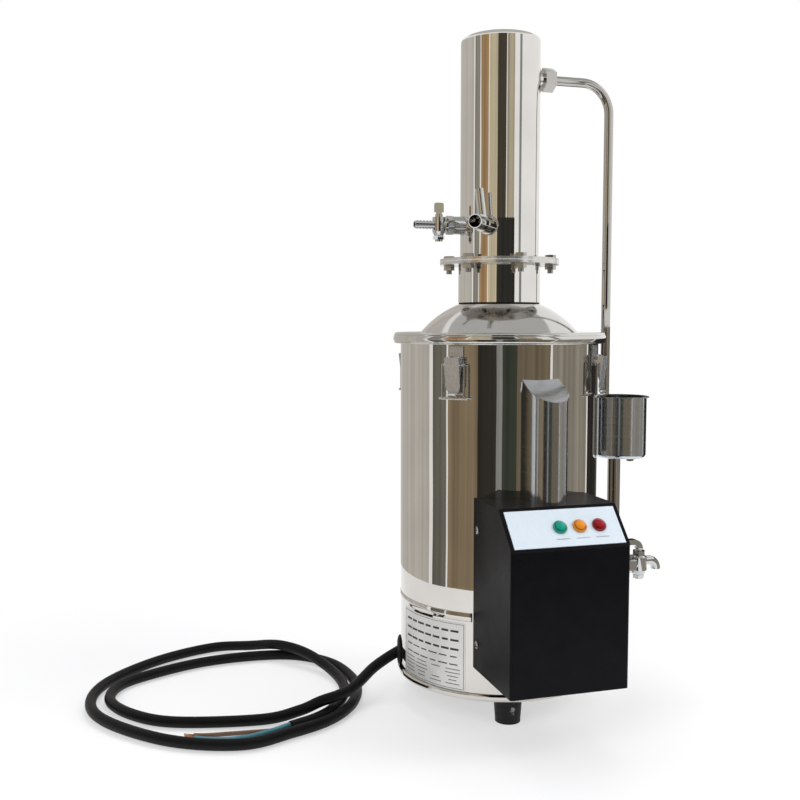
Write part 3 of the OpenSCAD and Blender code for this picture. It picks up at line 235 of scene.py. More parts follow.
# Coloured cap: a clear middle that darkens into a dark ring of painted shade, where the cap lies below its
# rim, and a bright outer rim. A ring is a share of the radius and the level of the colour there, and facing
# is the direction square to the sloping panel.
lensSet = {"radius": 0.0068, "facing": (0, -0.7328, 0.6804), "coat": 0.25, "coatRough": 0.04, "gloss": 0.3,
           "rings": [(0.0, 1.0), (0.6, 0.92), (0.73, 0.75), (0.78, 0.3), (0.83, 0.28), (0.88, 1.0),
                     (1.0, 0.75)],
           "facets": 420, "rough": (0.1, 0.2), "cut": 0.25, "cutDepth": 0.0005}


def lensFinish(name, base, glow, node):
    s = lensSet
    f = Finish(name, Coat_Weight=s["coat"], Coat_Roughness=s["coatRough"], Emission_Strength=glow,
               Specular_IOR_Level=s["gloss"])
    low, high = (Vector(p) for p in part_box(node))
    place = f.node("ShaderNodeVectorMath", operation="SUBTRACT")
    f.link(f.coords, place.inputs[0])
    place.inputs[1].default_value = (low + high) / 2
    aside = f.node("ShaderNodeVectorMath", operation="CROSS_PRODUCT")
    f.link(place.outputs[0], aside.inputs[0])
    aside.inputs[1].default_value = s["facing"]
    away = f.node("ShaderNodeVectorMath", operation="LENGTH")
    f.link(aside.outputs[0], away.inputs[0])
    ramp = f.node("ShaderNodeValToRGB")
    stops = ramp.color_ramp.elements
    while len(stops) < len(s["rings"]):
        stops.new(0.5)
    for stop, (reach, _) in zip(stops, s["rings"]):
        stop.position = reach
    # Levels under 1 darken the colour: painted shade of the recess round the clear middle
    for stop, (_, level) in zip(stops, s["rings"]):
        stop.color = (*(c * level for c in base), 1)
    f.link(f.ranged(away.outputs["Value"], 0, 1, 0, s["radius"]), ramp.inputs["Fac"])
    f.link(ramp.outputs["Color"], f.shader.inputs["Base Color"])
    f.shader.inputs["Emission Color"].default_value = (*base, 1)
    facet = f.noise(s["facets"], 1)
    f.rough(f.ranged(facet, *s["rough"]))
    f.bump(facet, s["cut"], s["cutDepth"])
    return f.material


greenLens = lensFinish("greenLens", (0.001, 0.26, 0.18), 0.03, "lamp_green")
amberLens = lensFinish("amberLens", (0.66, 0.225, 0.015), 0.04, "lamp_amber")
redLens = lensFinish("redLens", (0.26, 0.003, 0.008), 0.03, "lamp_red")

nodeFinishes = {
    drumSteel: ("boiler_shell", "base_plate"),
    chamberSteel: ("feeder_cup", "level_chamber"),
    columnSteel: ("condenser_jacket", "condenser_collar"),
    lidSteel: ("lid_dome", "boiler_floor", "splash_baffle", "condenser_core", "float_ball"),
    flangeSteel: ("lower_flange", "upper_flange"),
    pipeSteel: ("return_pipe", "feed_pipe", "drain_pipe", "overflow_pipe", "float_stem", "union_nut"),
    clipSteel: ("clip_brackets", "clip_lever_1", "clip_lever_2", "clip_lever_3", "clip_lever_4",
                "box_brackets"),
    castChrome: ("tap_body", "tap_plug", "inlet_cock_body", "inlet_cock_plug", "distillate_outlet",
                 "clip_pins", "clip_bail_1", "clip_bail_2", "clip_bail_3", "clip_bail_4"),
    boltSteel: ("flange_bolts", "flange_nuts", "foot_screws", "box_screws"),
    heaterSteel: ("heating_element",),
    brassNut: ("element_nuts",),
    blackPowder: ("control_box",),
    footRubber: ("rubber_feet",),
    blackRubber: ("neck_seal", "cable_grommet"),
    paleSeal: ("lid_gasket", "flange_gasket"),
    whitePlastic: ("terminal_block", "power_relay", "lamp_bodies"),
    panelEnamel: ("lamp_plate",),
    greenLens: ("lamp_green",),
    amberLens: ("lamp_amber",),
    redLens: ("lamp_red",),
}
for finish, names in nodeFinishes.items():
    for name in names:
        cadNodes[name].data.materials.clear()
        cadNodes[name].data.materials.append(finish)
print("finishes set:", len(nodeFinishes))

# Mains cord and its cores, along the same points as their solids: points in mm, other sizes in metres
cordSet = {
    "radius": 0.00575,
    "coreRadius": 0.0022,
    "steps": 8,
    "route": [
        (-87, 31, 54), (-100, 32, 48), (-117, 31, 40), (-134, 24, 33), (-150, 11, 26.5), (-165, -2, 22),
        (-181, -10.5, 20.2), (-200, -15.5, 18), (-223, -16.5, 11), (-262, -17.5, 6.5), (-345, 0.5, 6.4),
        (-387, 34, 6.4), (-408, 80, 6.4), (-396, 124, 6.4), (-355, 153, 6.4), (-300, 175, 6.4),
        (-240, 179.5, 6.4), (-192, 167.5, 6.4), (-158, 130, 6.4), (-145.5, 80, 6.4), (-149, 35, 6.4),
        (-167, -7, 6.4), (-197, -38, 6.4), (-238, -57.5, 6.4), (-288, -72, 6.4), (-354, -44, 6.4),
        (-411, 20, 6.4), (-428, 78, 6.4), (-410, 137, 6.4), (-354, 194, 6.4), (-288, 225, 6.5),
        (-242, 207, 10.9), (-212, 175, 19.1), (-186, 145, 17.2), (-167, 111, 10.2), (-159, 70, 6.5),
        (-164.5, 31, 6.4), (-185.5, -8.5, 6.4), (-207, -29.3, 6.4), (-236, -43.5, 6.4),
    ],
    "green": [(-235.7, -46.1, 4.8), (-254, -52, 3.2), (-277, -54, 2.6), (-300, -54, 2.6), (-318, -47, 2.6),
              (-330, -40, 2.6)],
    "blue": [(-237.2, -44.1, 9.4), (-254, -46.5, 6.4), (-277, -47, 3), (-300, -46.5, 2.6), (-318, -41, 2.6),
             (-330, -34.3, 2.6)],
    "brown": [(-239.3, -42, 4.8), (-254, -40, 3.2), (-277, -36.5, 2.6), (-300, -34, 2.6), (-318, -32, 2.6),
              (-330, -28.6, 2.6)],
    "strands": {"Strands": 9, "Radius": 0.00032, "Length": 0.0095, "Spread": 2.6, "Fan": 0.16},
}


def smoothLine(points, steps):
    pts = [Vector(p) / 1000 for p in points]
    pts = [pts[0] * 2 - pts[1]] + pts + [pts[-1] * 2 - pts[-2]]
    line = []
    for i in range(1, len(pts) - 2):
        a, b, c, d = pts[i - 1:i + 3]
        for k in range(steps):
            t = k / steps
            line.append(0.5 * (2 * b + (c - a) * t + (2 * a - 5 * b + 4 * c - d) * t ** 2
                               + (3 * b - a - 3 * c + d) * t ** 3))
    return line + [pts[-2]]


def lineLength(line):
    return sum((b - a).length for a, b in zip(line, line[1:]))


def tubeCurve(name, line, radius, finish, sides=6):
    data = bpy.data.curves.new(name, "CURVE")
    data.dimensions = "3D"
    data.bevel_depth = radius
    data.bevel_resolution = sides
    data.use_fill_caps = True
    spline = data.splines.new("POLY")
    spline.points.add(len(line) - 1)
    for point, place in zip(spline.points, line):
        point.co = (*place, 1)
    data.materials.append(finish)
    return placed(name, data)


# Repeated small forms: one node tree each, with named inputs for its sizes
class TreeMaker:
    def __init__(self, name, sockets):
        self.tree = bpy.data.node_groups.new(name, "GeometryNodeTree")
        face = self.tree.interface
        face.new_socket("Geometry", in_out="INPUT", socket_type="NodeSocketGeometry")
        for label, kind in sockets.items():
            face.new_socket(label, in_out="INPUT", socket_type="NodeSocket" + kind)
        face.new_socket("Geometry", in_out="OUTPUT", socket_type="NodeSocketGeometry")
        self.given = self.tree.nodes.new("NodeGroupInput").outputs
        self.result = self.tree.nodes.new("NodeGroupOutput").inputs

    def add(self, kind, sets=None, **links):
        made = self.tree.nodes.new(kind)
        for key, value in (sets or {}).items():
            setattr(made, key, value)
        for key, value in links.items():
            socket = made.inputs[int(key[1:])] if key[1:].isdigit() else made.inputs[key.replace("_", " ")]
            if isinstance(value, bpy.types.NodeSocket):
                self.tree.links.new(value, socket)
            else:
                socket.default_value = value
        return made.outputs

    def math(self, operation, a, b=0.0):
        return self.add("ShaderNodeMath", {"operation": operation}, i0=a, i1=b)[0]

    def vector(self, x=0.0, y=0.0, z=0.0):
        return self.add("ShaderNodeCombineXYZ", X=x, Y=y, Z=z)[0]

    def onPoints(self, form):
        facing = self.add("GeometryNodeInputNamedAttribute", {"data_type": "FLOAT_VECTOR"}, Name="facing")[0]
        turn = self.add("FunctionNodeAlignRotationToVector", {"axis": "Z"}, Vector=facing)[0]
        return self.add("GeometryNodeInstanceOnPoints", Points=self.given["Geometry"], Instance=form,
                        Rotation=turn)[0]

    def close(self, geometry):
        real = self.add("GeometryNodeRealizeInstances", Geometry=geometry)[0]
        painted = self.add("GeometryNodeSetMaterial", Geometry=real, Material=self.given["Finish"])[0]
        self.tree.links.new(painted, self.result["Geometry"])
        return self


def pointMesh(name, places, facings):
    mesh = bpy.data.meshes.new(name)
    mesh.from_pydata([tuple(p) for p in places], [], [])
    facing = mesh.attributes.new("facing", "FLOAT_VECTOR", "POINT")
    for item, value in zip(facing.data, facings):
        item.vector = tuple(value)
    return mesh


def loopMesh(name, loops):
    points, edges = [], []
    for loop in loops:
        first = len(points)
        points += [tuple(p) for p in loop]
        edges += [(first + i, first + i + 1) for i in range(len(loop) - 1)]
        edges.append((len(points) - 1, first))
    mesh = bpy.data.meshes.new(name)
    mesh.from_pydata(points, edges, [])
    return mesh


def treeMesh(name, base, maker, body, smooth=True, **values):
    source = placed(name + "Source", base)
    modifier = source.modifiers.new("repeat", "NODES")
    modifier.node_group = maker.tree
    for item in maker.tree.interface.items_tree:
        if item.in_out == "INPUT" and item.name in values:
            modifier[item.identifier] = values[item.name]
    graph = bpy.context.evaluated_depsgraph_get()
    mesh = bpy.data.meshes.new_from_object(source.evaluated_get(graph))
    source.modifiers.remove(modifier)
    bpy.data.objects.remove(source)
    for face in mesh.polygons:
        face.use_smooth = smooth
    made = placed(name, mesh)
    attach(made, body)
    return made


# Fine copper strands fanned out from each core
def strandTree():
    t = TreeMaker("copperStrands", {"Strands": "Int", "Radius": "Float", "Length": "Float",
                                    "Spread": "Float", "Fan": "Float", "Finish": "Material"})
    g = t.given
    strand = t.add("GeometryNodeMeshCylinder", Vertices=6, Side_Segments=3, Radius=g["Radius"],
                   Depth=g["Length"])[0]
    lift = t.vector(z=t.math("MULTIPLY", g["Length"], 0.5))
    stood = t.add("GeometryNodeTransform", Geometry=strand, Translation=lift)[0]
    bundleRadius = t.math("MULTIPLY", g["Radius"], g["Spread"])
    ring = t.add("GeometryNodeMeshCircle", Vertices=g["Strands"], Radius=bundleRadius)[0]
    lean = t.add("FunctionNodeRandomValue", {"data_type": "FLOAT_VECTOR"}, Min=(-1, -1, 0), Max=(1, 1, 0),
                 Seed=5)[0]
    turned = t.add("ShaderNodeVectorMath", {"operation": "SCALE"}, i0=lean, Scale=g["Fan"])[0]
    bundle = t.add("GeometryNodeInstanceOnPoints", Points=ring, Instance=stood, Rotation=turned)[0]
    return t.close(t.onPoints(bundle))


def makeCord(s):
    line = smoothLine(s["route"], s["steps"])
    cord = tubeCurve("mainsCord", line, s["radius"], cordRubber)
    cores, tips, aims = [], [], []
    for key, node, finish in (("green", "core_green", greenCore), ("blue", "core_blue", blueCore),
                              ("brown", "core_brown", brownCore)):
        coreLine = smoothLine(s[key], s["steps"])
        core = tubeCurve(key + "Core", coreLine, s["coreRadius"], finish, 4)
        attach(core, "boiler")
        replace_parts(core, node)
        cores.append(core)
        tips.append(coreLine[-1])
        aims.append((coreLine[-1] - coreLine[-2]).normalized())
    strands = treeMesh("copperStrands", pointMesh("coreTips", tips, aims), strandTree(), "boiler",
                       Finish=bareCopper, **s["strands"])
    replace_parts(strands, "copper_ends")
    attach(cord, "boiler")
    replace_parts(cord, "power_cord")
    print("cord length", round(lineLength(line), 3), "m")


makeCord(cordSet)


# Directions round the drum, in degrees from the front towards the cup
def outward(angle):
    return Vector((math.sin(math.radians(angle)), -math.cos(math.radians(angle)), 0))


def along(angle):
    return Vector((math.cos(math.radians(angle)), math.sin(math.radians(angle)), 0))


# Domed heads that stand on points
def headTree():
    t = TreeMaker("domedHeads", {"Radius": "Float", "Rise": "Float", "Finish": "Material"})
    ball = t.add("GeometryNodeMeshUVSphere", Segments=20, Rings=10, Radius=1.0)[0]
    size = t.vector(t.given["Radius"], t.given["Radius"], t.given["Rise"])
    return t.close(t.onPoints(t.add("GeometryNodeTransform", Geometry=ball, Scale=size)[0]))


# Two crossed bars, for the recess of a screw head
def crossTree():
    t = TreeMaker("crossRecess", {"Length": "Float", "Width": "Float", "Depth": "Float",
                                  "Finish": "Material"})
    g = t.given
    sizes = (t.vector(g["Length"], g["Width"], g["Depth"]), t.vector(g["Width"], g["Length"], g["Depth"]))
    both = t.add("GeometryNodeJoinGeometry")
    for bar in [t.add("GeometryNodeMeshCube", Size=size)[0] for size in sizes]:
        t.tree.links.new(bar, both[0].node.inputs[0])
    return t.close(t.onPoints(both[0]))


# Flat bars that lie on points
def barTree():
    t = TreeMaker("flatBars", {"Width": "Float", "Height": "Float", "Depth": "Float", "Finish": "Material"})
    size = t.vector(t.given["Width"], t.given["Height"], t.given["Depth"])
    return t.close(t.onPoints(t.add("GeometryNodeMeshCube", Size=size)[0]))


# Ripples of a weld bead along a path
def weldTree():
    t = TreeMaker("weldBead", {"Spacing": "Float", "Width": "Float", "Finish": "Material"})
    path = t.add("GeometryNodeMeshToCurve", Mesh=t.given["Geometry"])[0]
    points = t.add("GeometryNodeCurveToPoints", {"mode": "LENGTH"}, Curve=path, Length=t.given["Spacing"])[0]
    ball = t.add("GeometryNodeMeshUVSphere", Segments=10, Rings=6, Radius=t.given["Width"])[0]
    least, most = 0.85, 1.15  # size of a ripple
    swell = t.add("FunctionNodeRandomValue", {"data_type": "FLOAT"}, i2=least, i3=most, Seed=7)[1]
    return t.close(t.add("GeometryNodeInstanceOnPoints", Points=points, Instance=ball, Scale=swell)[0])


# Thread on the bolt tails
def threadTree():
    t = TreeMaker("boltThread", {"Radius": "Float", "Pitch": "Float", "Turns": "Float", "Ridge": "Float",
                                 "Finish": "Material"})
    g = t.given
    rise = t.math("MULTIPLY", g["Pitch"], g["Turns"])
    spiral = t.add("GeometryNodeCurveSpiral", Resolution=20, Rotations=g["Turns"], Start_Radius=g["Radius"],
                   End_Radius=g["Radius"], Height=rise)[0]
    ridgeRadius = t.math("MULTIPLY", g["Pitch"], g["Ridge"])
    ridge = t.add("GeometryNodeCurvePrimitiveCircle", Resolution=5, Radius=ridgeRadius)[0]
    thread = t.add("GeometryNodeCurveToMesh", Curve=spiral, Profile_Curve=ridge, Fill_Caps=True)[0]
    return t.close(t.onPoints(thread))


# Ruled bars wrapped round the drum, in rows and columns
def ruledTree():
    t = TreeMaker("ruledBars", {"Columns": "Int", "Rows": "Int", "Width": "Float", "Height": "Float",
                                "Bar": "Float", "Depth": "Float", "Shortest": "Float", "Keep": "Float",
                                "Radius": "Float", "Angle": "Float", "Level": "Float", "Finish": "Material"})
    g = t.given
    grid = t.add("GeometryNodeMeshGrid", Size_X=g["Width"], Size_Y=g["Height"], Vertices_X=g["Columns"],
                 Vertices_Y=g["Rows"])[0]
    step = t.math("DIVIDE", g["Width"], t.math("MAXIMUM", t.math("SUBTRACT", g["Columns"], 1.0), 1.0))
    bar = t.add("GeometryNodeMeshCube", Size=t.vector(step, g["Bar"], g["Depth"]), Vertices_X=6)[0]
    longest = 0.9  # of a column's width
    length = t.add("FunctionNodeRandomValue", {"data_type": "FLOAT"}, i2=g["Shortest"], i3=longest, Seed=3)[1]
    keep = t.add("FunctionNodeRandomValue", {"data_type": "BOOLEAN"}, Probability=g["Keep"], Seed=11)[3]
    spread = t.add("GeometryNodeInstanceOnPoints", Points=grid, Instance=bar, Selection=keep,
                   Scale=t.vector(length, 1.0, 1.0))[0]
    real = t.add("GeometryNodeRealizeInstances", Geometry=spread)[0]
    split = t.add("ShaderNodeSeparateXYZ", Vector=t.add("GeometryNodeInputPosition")[0])
    turn = t.math("ADD", g["Angle"], t.math("DIVIDE", split["X"], g["Radius"]))
    reach = t.math("ADD", g["Radius"], split["Z"])
    bent = t.vector(t.math("MULTIPLY", reach, t.math("SINE", turn)),
                    t.math("MULTIPLY", t.math("MULTIPLY", reach, t.math("COSINE", turn)), -1.0),
                    t.math("ADD", g["Level"], split["Y"]))
    return t.close(t.add("GeometryNodeSetPosition", Geometry=real, Position=bent)[0])


heads = headTree()
crosses = crossTree()
bars = barTree()
welds = weldTree()
threads = threadTree()
ruled = ruledTree()


def meshPiece(name, work, finish, body, smooth=True, merge=1e-6):
    bmesh.ops.remove_doubles(work, verts=work.verts, dist=merge)
    bmesh.ops.recalc_face_normals(work, faces=work.faces)
    mesh = bpy.data.meshes.new(name)
    work.to_mesh(mesh)
    work.free()
    for face in mesh.polygons:
        face.use_smooth = smooth
    mesh.materials.append(finish)
    made = placed(name, mesh)
    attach(made, body)
    return made


# Rating plate on the drum: foil with a printed frame and rows of ruled lines
plateSet = {"radius": 0.105, "angles": (-88, -39.2), "levels": (0.0373, 0.1070), "gap": 0.00005,
            "thick": 0.00022, "inset": 0.0015, "line": 0.00045, "ink": 0.0001, "rowDepth": 0.0003,
            "steps": 40, "uprightSteps": 2}
plateRows = [
    {"name": "headingLines", "middle": 0.0885, "Columns": 7, "Rows": 3, "Width": 0.066, "Height": 0.0185,
     "Bar": 0.0021, "Keep": 0.97, "Shortest": 0.62},
    {"name": "middleLines", "middle": 0.0675, "Columns": 6, "Rows": 2, "Width": 0.064, "Height": 0.0080,
     "Bar": 0.0012, "Keep": 0.85, "Shortest": 0.5},
    {"name": "tableLines", "middle": 0.0510, "Columns": 4, "Rows": 5, "Width": 0.062, "Height": 0.0150,
     "Bar": 0.0007, "Keep": 0.85, "Shortest": 0.4},
]


def wrapPlate(name, radius, angles, levels, thick, finish, steps):
    work = bmesh.new()
    rings = []
    for i in range(steps + 1):
        side = outward(angles[0] + (angles[1] - angles[0]) * i / steps)
        corners = [(radius, levels[0]), (radius + thick, levels[0]), (radius + thick, levels[1]),
                   (radius, levels[1])]
        rings.append([work.verts.new(side * r + Vector((0, 0, z))) for r, z in corners])
    for a, b in zip(rings, rings[1:]):
        for k in range(4):
            work.faces.new((a[k], b[k], b[(k + 1) % 4], a[(k + 1) % 4]))
    work.faces.new(rings[0])
    work.faces.new(reversed(rings[-1]))
    meshPiece(name, work, finish, "boiler", False)


def makePlate(s, rows):
    (a0, a1), (z0, z1) = s["angles"], s["levels"]
    face = s["radius"] + s["thick"]
    wrapPlate("ratingPlate", s["radius"] + s["gap"], s["angles"], s["levels"], s["thick"], labelFoil,
              s["steps"])
    turn = math.degrees(s["inset"] / s["radius"])
    thin = math.degrees(s["line"] / s["radius"])
    b0, b1, y0, y1 = a0 + turn, a1 - turn, z0 + s["inset"], z1 - s["inset"]
    frameLines = {"Low": ((b0, b1), (y0, y0 + s["line"])), "High": ((b0, b1), (y1 - s["line"], y1)),
                  "Left": ((b0, b0 + thin), (y0, y1)), "Right": ((b1 - thin, b1), (y0, y1))}
    for side, (angles, levels) in frameLines.items():
        steps = s["steps"] if side in ("Low", "High") else s["uprightSteps"]
        wrapPlate("ratingFrame" + side, face, angles, levels, s["ink"], labelInk, steps)
    for row in rows:
        base = bpy.data.meshes.new(row["name"] + "Base")
        values = {key: row[key] for key in ("Columns", "Rows", "Width", "Height", "Bar", "Keep", "Shortest")}
        treeMesh(row["name"], base, ruled, "boiler", False, Radius=face, Depth=s["rowDepth"],
                 Level=row["middle"], Angle=math.radians((a0 + a1) / 2), Finish=labelInk, **values)


makePlate(plateSet, plateRows)

# Plain caption lines under the pilot lamps
captionSet = {"down": 0.0122, "rise": 0.0005, "width": 0.0135, "height": 0.0009, "depth": 0.0002}


def makeCaptions(s):
    low, high = (Vector(p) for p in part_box("lamp_plate"))
    middle = (low + high) / 2
    slope = Vector((0, low.y - high.y, low.z - high.z)).normalized()
    normal = Vector((0, slope.z, -slope.y))
    places = []
    for name in ("lamp_green", "lamp_amber", "lamp_red"):
        a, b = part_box(name)
        centre = Vector(((a[0] + b[0]) / 2, middle.y, middle.z))
        places.append(centre + slope * s["down"] + normal * s["rise"])
    treeMesh("lampCaptions", pointMesh("captionPoints", places, [normal] * len(places)), bars, "boiler",
             False, Width=s["width"], Height=s["height"], Depth=s["depth"], Finish=captionInk)


makeCaptions(captionSet)

# Rolled seam round the drum above the rating plate, swelling of the lid's rim and rounded cable grommet
seamSet = {"name": "drumSeam", "body": "boiler", "finish": drumSteel, "radius": 0.10502, "level": 0.1138,
           "half": 0.0046, "bulge": 0.0009, "angles": (35.3, 324.7), "steps": 180, "profile": 12}
rimSet = {"name": "lidRim", "body": "lid", "finish": lidSteel, "radius": 0.11202, "level": 0.3902,
          "half": 0.0036, "bulge": 0.0010, "angles": (0, 360), "steps": 240, "profile": 12}
grommetSet = {"angle": -107.7, "level": 0.048, "drum": 0.105, "steps": 48,
              "profile": [(0, -0.004), (0.0095, -0.004), (0.0122, -0.0022), (0.0122, 0.0003),
                          (0.0160, 0.0003), (0.0165, 0.0008), (0.0163, 0.0016), (0.0152, 0.0026),
                          (0.0130, 0.0034), (0.0100, 0.0039), (0.0065, 0.0040), (0, 0.0040)]}


def makeBead(s):
    work = bmesh.new()
    outline = [(0, s["half"])] + [(s["bulge"] * math.sin(math.pi * k / s["profile"]),
                                   s["half"] * (1 - 2 * k / s["profile"])) for k in range(1, s["profile"])]
    outline.append((0, -s["half"]))
    whole = s["angles"][1] - s["angles"][0] == 360
    rings = []
    for i in range(s["steps"] + (0 if whole else 1)):
        side = outward(s["angles"][0] + (s["angles"][1] - s["angles"][0]) * i / s["steps"])
        rings.append([work.verts.new(side * (s["radius"] + out) + Vector((0, 0, s["level"] + up)))
                      for out, up in outline])
    for a, b in zip(rings, rings[1:] + (rings[:1] if whole else [])):
        for k in range(len(outline)):
            j = (k + 1) % len(outline)
            work.faces.new((a[k], b[k], b[j], a[j]))
    if not whole:
        work.faces.new(rings[0])
        work.faces.new(rings[-1])
    meshPiece(s["name"], work, s["finish"], s["body"])


def makeGrommet(s):
    work = bmesh.new()
    ahead, side, up = outward(s["angle"]), along(s["angle"]), Vector((0, 0, 1))
    middle = Vector((0, 0, s["level"]))
    rings = []
    for i in range(s["steps"]):
        turn = math.tau * i / s["steps"]
        across = side * math.cos(turn) + up * math.sin(turn)
        ring = []
        for reach, out in s["profile"]:
            bow = s["drum"] - math.sqrt(s["drum"] ** 2 - (reach * math.cos(turn)) ** 2)
            ring.append(work.verts.new(middle + ahead * (s["drum"] + out - bow) + across * reach))
        rings.append(ring)
    for a, b in zip(rings, rings[1:] + rings[:1]):
        for k in range(len(s["profile"]) - 1):
            work.faces.new((a[k], b[k], b[k + 1], a[k + 1]))
    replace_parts(meshPiece("cordGrommet", work, blackRubber, "boiler"), "cable_grommet")


makeBead(seamSet)
makeBead(rimSet)
makeGrommet(grommetSet)

# Small fixings: screw recesses, riveted pin ends and bolt threads
fixingSet = {
    "screws": {"side": 0.062, "depth": -0.09708, "levels": (0.0900, 0.2045)},
    "recess": {"Length": 0.0042, "Width": 0.0007, "Depth": 0.0002},
    "pins": {"angles": (-45, 45, 135, -135), "reach": 0.110, "level": 0.3712, "half": 0.00785},
    "rivet": {"Radius": 0.0021, "Rise": 0.0009},
    "bolts": {"circle": 0.054, "first": 2, "count": 6, "tail": 0.4588},
    "thread": {"Radius": 0.00285, "Pitch": 0.0008, "Turns": 4.4, "Ridge": 0.36},
}


def makeFixings(s):
    places, faces = [], []
    for side in (-1, 1):
        for level in s["screws"]["levels"]:
            places.append(Vector((side * s["screws"]["side"], s["screws"]["depth"], level)))
            faces.append(Vector((side, 0, 0)))
    treeMesh("screwRecesses", pointMesh("screwPoints", places, faces), crosses, "boiler", False,
             Finish=recessShade, **s["recess"])
    places, faces = [], []
    for angle in s["pins"]["angles"]:
        for side in (-1, 1):
            faces.append(along(angle) * side)
            places.append(outward(angle) * s["pins"]["reach"] + Vector((0, 0, s["pins"]["level"]))
                          + faces[-1] * s["pins"]["half"])
    treeMesh("pinRivets", pointMesh("pinPoints", places, faces), heads, "boiler",
             Finish=boltSteel, **s["rivet"])
    b = s["bolts"]
    places = [outward(b["first"] + 360 * k / b["count"]) * b["circle"] + Vector((0, 0, b["tail"]))
              for k in range(b["count"])]
    treeMesh("boltThreads", pointMesh("boltPoints", places, [(0, 0, 1)] * b["count"]), threads, "lid",
             Finish=boltSteel, **s["thread"])


makeFixings(fixingSet)

# Weld beads where tubes meet the drum and the column, as (direction, wall radius, tube radius, level)
weldSet = {
    "lid": {"name": "columnWelds", "bead": 0.0008, "pitch": 1.1,
            "rings": [(-90, 0.0418, 0.0096, 0.508415), (-38, 0.0418, 0.0097, 0.506415),
                      (90, 0.0418, 0.0062, 0.66441)]},
    "boiler": {"name": "drumWelds", "bead": 0.0010, "pitch": 1.1, "rings": [(90, 0.105, 0.0072, 0.133)]},
}


def saddle(angle, wide, small, level, steps=64):
    side, ahead = along(angle), outward(angle)
    ring = []
    for k in range(steps):
        turn = math.tau * k / steps
        off = small * math.cos(turn)
        lift = Vector((0, 0, level + small * math.sin(turn)))
        ring.append(ahead * math.sqrt(wide ** 2 - off ** 2) + side * off + lift)
    return ring


def makeWelds(sets):
    for body, s in sets.items():
        loops = loopMesh(s["name"] + "Path", [saddle(*ring) for ring in s["rings"]])
        treeMesh(s["name"], loops, welds, body, Spacing=s["bead"] * s["pitch"], Width=s["bead"],
                 Finish=weldSteel)


makeWelds(weldSet)
print("details made")

# Floor, cards, backdrop and lamps
stageSet = {"corners": [(-1.077, -1.16), (1.1, -1.16), (1.1, 0.9), (-0.594, 0.9)], "level": -0.0005,
            "tone": 0.86, "white": (0.5, 1.0), "fade": (0.50, 0.73)}


class ShaderTree:
    def __init__(self, owner):
        owner.use_nodes = True
        self.tree = owner.node_tree
        self.tree.nodes.clear()

    def add(self, kind, *links, **values):
        made = self.tree.nodes.new(kind)
        for key, value in values.items():
            setattr(made, key, value)
        for socket, source in zip(made.inputs, links):
            if isinstance(source, bpy.types.NodeSocket):
                self.tree.links.new(source, socket)
            elif source is not None:
                socket.default_value = source
        return made.outputs[0]

    # Camera, glossy and transmission rays, which see the white backdrop
    def direct(self):
        path = self.add("ShaderNodeLightPath").node.outputs
        share = path["Is Camera Ray"]
        for rays in ("Is Glossy Ray", "Is Transmission Ray"):
            share = self.add("ShaderNodeMath", share, path[rays], operation="MAXIMUM")
        return share

    def close(self, surface, kind="ShaderNodeOutputMaterial"):
        self.tree.links.new(surface, self.tree.nodes.new(kind).inputs["Surface"])


def stageMesh(name, points, faces, material):
    mesh = bpy.data.meshes.new(name)
    mesh.from_pydata([tuple(p) for p in points], [], faces)
    mesh.materials.append(material)
    made = placed(name, mesh)
    return made


# Half matte round the object, where the shadow falls, and white further out
def makeFloor(s):
    material = bpy.data.materials.new("paleFloor")
    t = ShaderTree(material)
    spot = t.add("ShaderNodeTexCoord").node.outputs["Object"]
    away = t.add("ShaderNodeVectorMath", spot, operation="LENGTH").node.outputs["Value"]
    share = t.add("ShaderNodeMapRange", away, *s["fade"], *s["white"])
    matte = t.add("ShaderNodeBsdfDiffuse", (s["tone"], s["tone"], s["tone"], 1))
    white = t.add("ShaderNodeEmission", (1, 1, 1, 1), 1.0)
    shown = t.add("ShaderNodeMixShader", share, matte, white)
    t.close(t.add("ShaderNodeMixShader", t.direct(), matte, shown))
    stageMesh("floor", [(x, y, s["level"]) for x, y in s["corners"]], [(0, 1, 2, 3)], material)


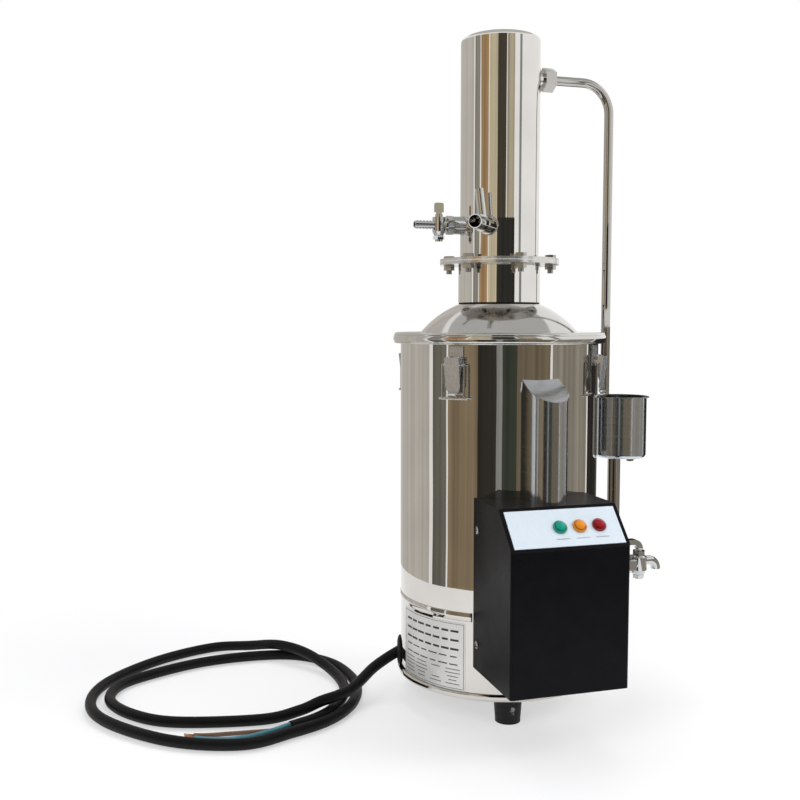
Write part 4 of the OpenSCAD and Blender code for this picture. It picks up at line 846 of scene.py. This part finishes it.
# Cloth cards round and above the object that give the polished steel its bands, as in a studio. Angles are
# in degrees from the front towards the cup side, and a span is two edges, each a distance from the middle
# and a height. Only glossy rays see the cards, and the white backdrop shows between them.
cardSet = {"step": 3, "folds": (3.2, 3.2, 0.15), "depth": (0.74, 1.26),
           "low": ((0.62, 0.0), (0.62, 0.40)), "hung": ((0.62, 0.43), (0.62, 0.95)),
           "tall": ((0.62, 0.0), (0.62, 0.95)), "short": ((0.60, 0.43), (0.60, 0.57)),
           "over": ((0.0, 1.5), (1.0, 1.5))}
cards = [
    {"name": "paleGreyCard", "angles": (-190, -101), "span": "tall", "tone": (0.58, 0.555, 0.515),
     "depth": (0.9, 1.1)},
    {"name": "greyCard", "angles": (-96, -78), "span": "low", "tone": (0.165, 0.16, 0.135)},
    {"name": "tanCard", "angles": (-76, -43), "span": "low", "tone": (0.26, 0.20, 0.13)},
    {"name": "blackCard", "angles": (-43, -24), "span": "low", "tone": (0.04, 0.036, 0.03)},
    {"name": "silverCard", "angles": (-24, -18), "span": "low", "tone": (0.29, 0.29, 0.285)},
    {"name": "darkCard", "angles": (-18, -3), "span": "low", "tone": (0.05, 0.058, 0.043)},
    {"name": "brownCard", "angles": (-3, 34), "span": "low", "tone": (0.20, 0.16, 0.11)},
    {"name": "stoneCard", "angles": (36, 90), "span": "low", "tone": (0.32, 0.29, 0.245)},
    {"name": "edgeCard", "angles": (93, 150), "span": "low", "tone": (0.03, 0.028, 0.025)},
    {"name": "copperCard", "angles": (-78, -54), "span": "hung", "tone": (0.43, 0.28, 0.145)},
    {"name": "creamCard", "angles": (-52, -29), "span": "hung", "tone": (0.66, 0.58, 0.41)},
    {"name": "umberCard", "angles": (-29, -5), "span": "hung", "tone": (0.07, 0.06, 0.045)},
    {"name": "mossCard", "angles": (-97, -80), "span": "hung", "tone": (0.27, 0.26, 0.22)},
    {"name": "strawCard", "angles": (-3, 18), "span": "hung", "tone": (0.47, 0.42, 0.31)},
    {"name": "inkCard", "angles": (-27, 20), "span": "short", "tone": (0.035, 0.033, 0.03)},
    {"name": "slimCard", "angles": (33, 40), "span": "hung", "tone": (0.27, 0.28, 0.29)},
    {"name": "overheadCard", "angles": (0, 360), "span": "over", "tone": (0.55, 0.55, 0.54),
     "depth": (1.0, 1.0)},
]


def makeCards(s, cards):
    for card in cards:
        material = bpy.data.materials.new(card["name"])
        t = ShaderTree(material)
        spot = t.add("ShaderNodeTexCoord").node.outputs["Object"]
        stretched = t.add("ShaderNodeVectorMath", spot, s["folds"], operation="MULTIPLY")
        noise = t.add("ShaderNodeTexNoise", stretched)
        folds = t.add("ShaderNodeMapRange", noise, *noiseSpan, *card.get("depth", s["depth"]))
        t.close(t.add("ShaderNodeEmission", (*card["tone"], 1), folds))
        first, last = card["angles"]
        count = round((last - first) / s["step"])
        sides = [outward(first + (last - first) * i / count) for i in range(count + 1)]
        span = s[card["span"]]
        points = [side * away + Vector((0, 0, height)) for side in sides for away, height in span]
        faces = [(2 * i, 2 * i + 2, 2 * i + 3, 2 * i + 1) for i in range(count)]
        made = stageMesh(card["name"], points, faces, material)
        for rays in ("camera", "diffuse", "transmission", "volume_scatter", "shadow"):
            setattr(made, "visible_" + rays, False)


worldSet = {"soft": (0.92, 0.94, 0.97), "strength": 0.55}


# White to camera, glossy and transmission rays, and a soft even light to the rest
def makeWorld(s):
    scene.world = bpy.data.worlds.new("whiteBackdrop")
    t = ShaderTree(scene.world)
    soft = t.add("ShaderNodeBackground", (*s["soft"], 1), s["strength"])
    white = t.add("ShaderNodeBackground", (1, 1, 1, 1), 1.0)
    t.close(t.add("ShaderNodeMixShader", t.direct(), soft, white), "ShaderNodeOutputWorld")


lampSet = {
    "aim": (0, 0, 0.3),
    "lamps": [
        {"name": "rightLamp", "place": (1.5, -0.9, 1.3), "size": (0.9, 1.4), "power": 24},
        {"name": "leftLamp", "place": (-1.5, -1.4, 1.5), "size": (1.2, 1.2), "power": 22},
        {"name": "topLamp", "place": (0.1, 0.5, 2.0), "size": (1.4, 1.4), "power": 18},
    ],
}


# The steel mirrors the backdrop and the cards, not the lamps
def makeLamps(s):
    for values in s["lamps"]:
        data = bpy.data.lights.new(values["name"], "AREA")
        data.shape = "RECTANGLE"
        data.size, data.size_y = values["size"]
        data.energy = values["power"]
        lamp = placed(values["name"], data)
        lamp.location = values["place"]
        aim = Vector(s["aim"]) - lamp.location
        lamp.rotation_euler = aim.to_track_quat("-Z", "Y").to_euler()
        lamp.visible_glossy = False


makeFloor(stageSet)
makeCards(cardSet, cards)
makeWorld(worldSet)
makeLamps(lampSet)
print("stage made")
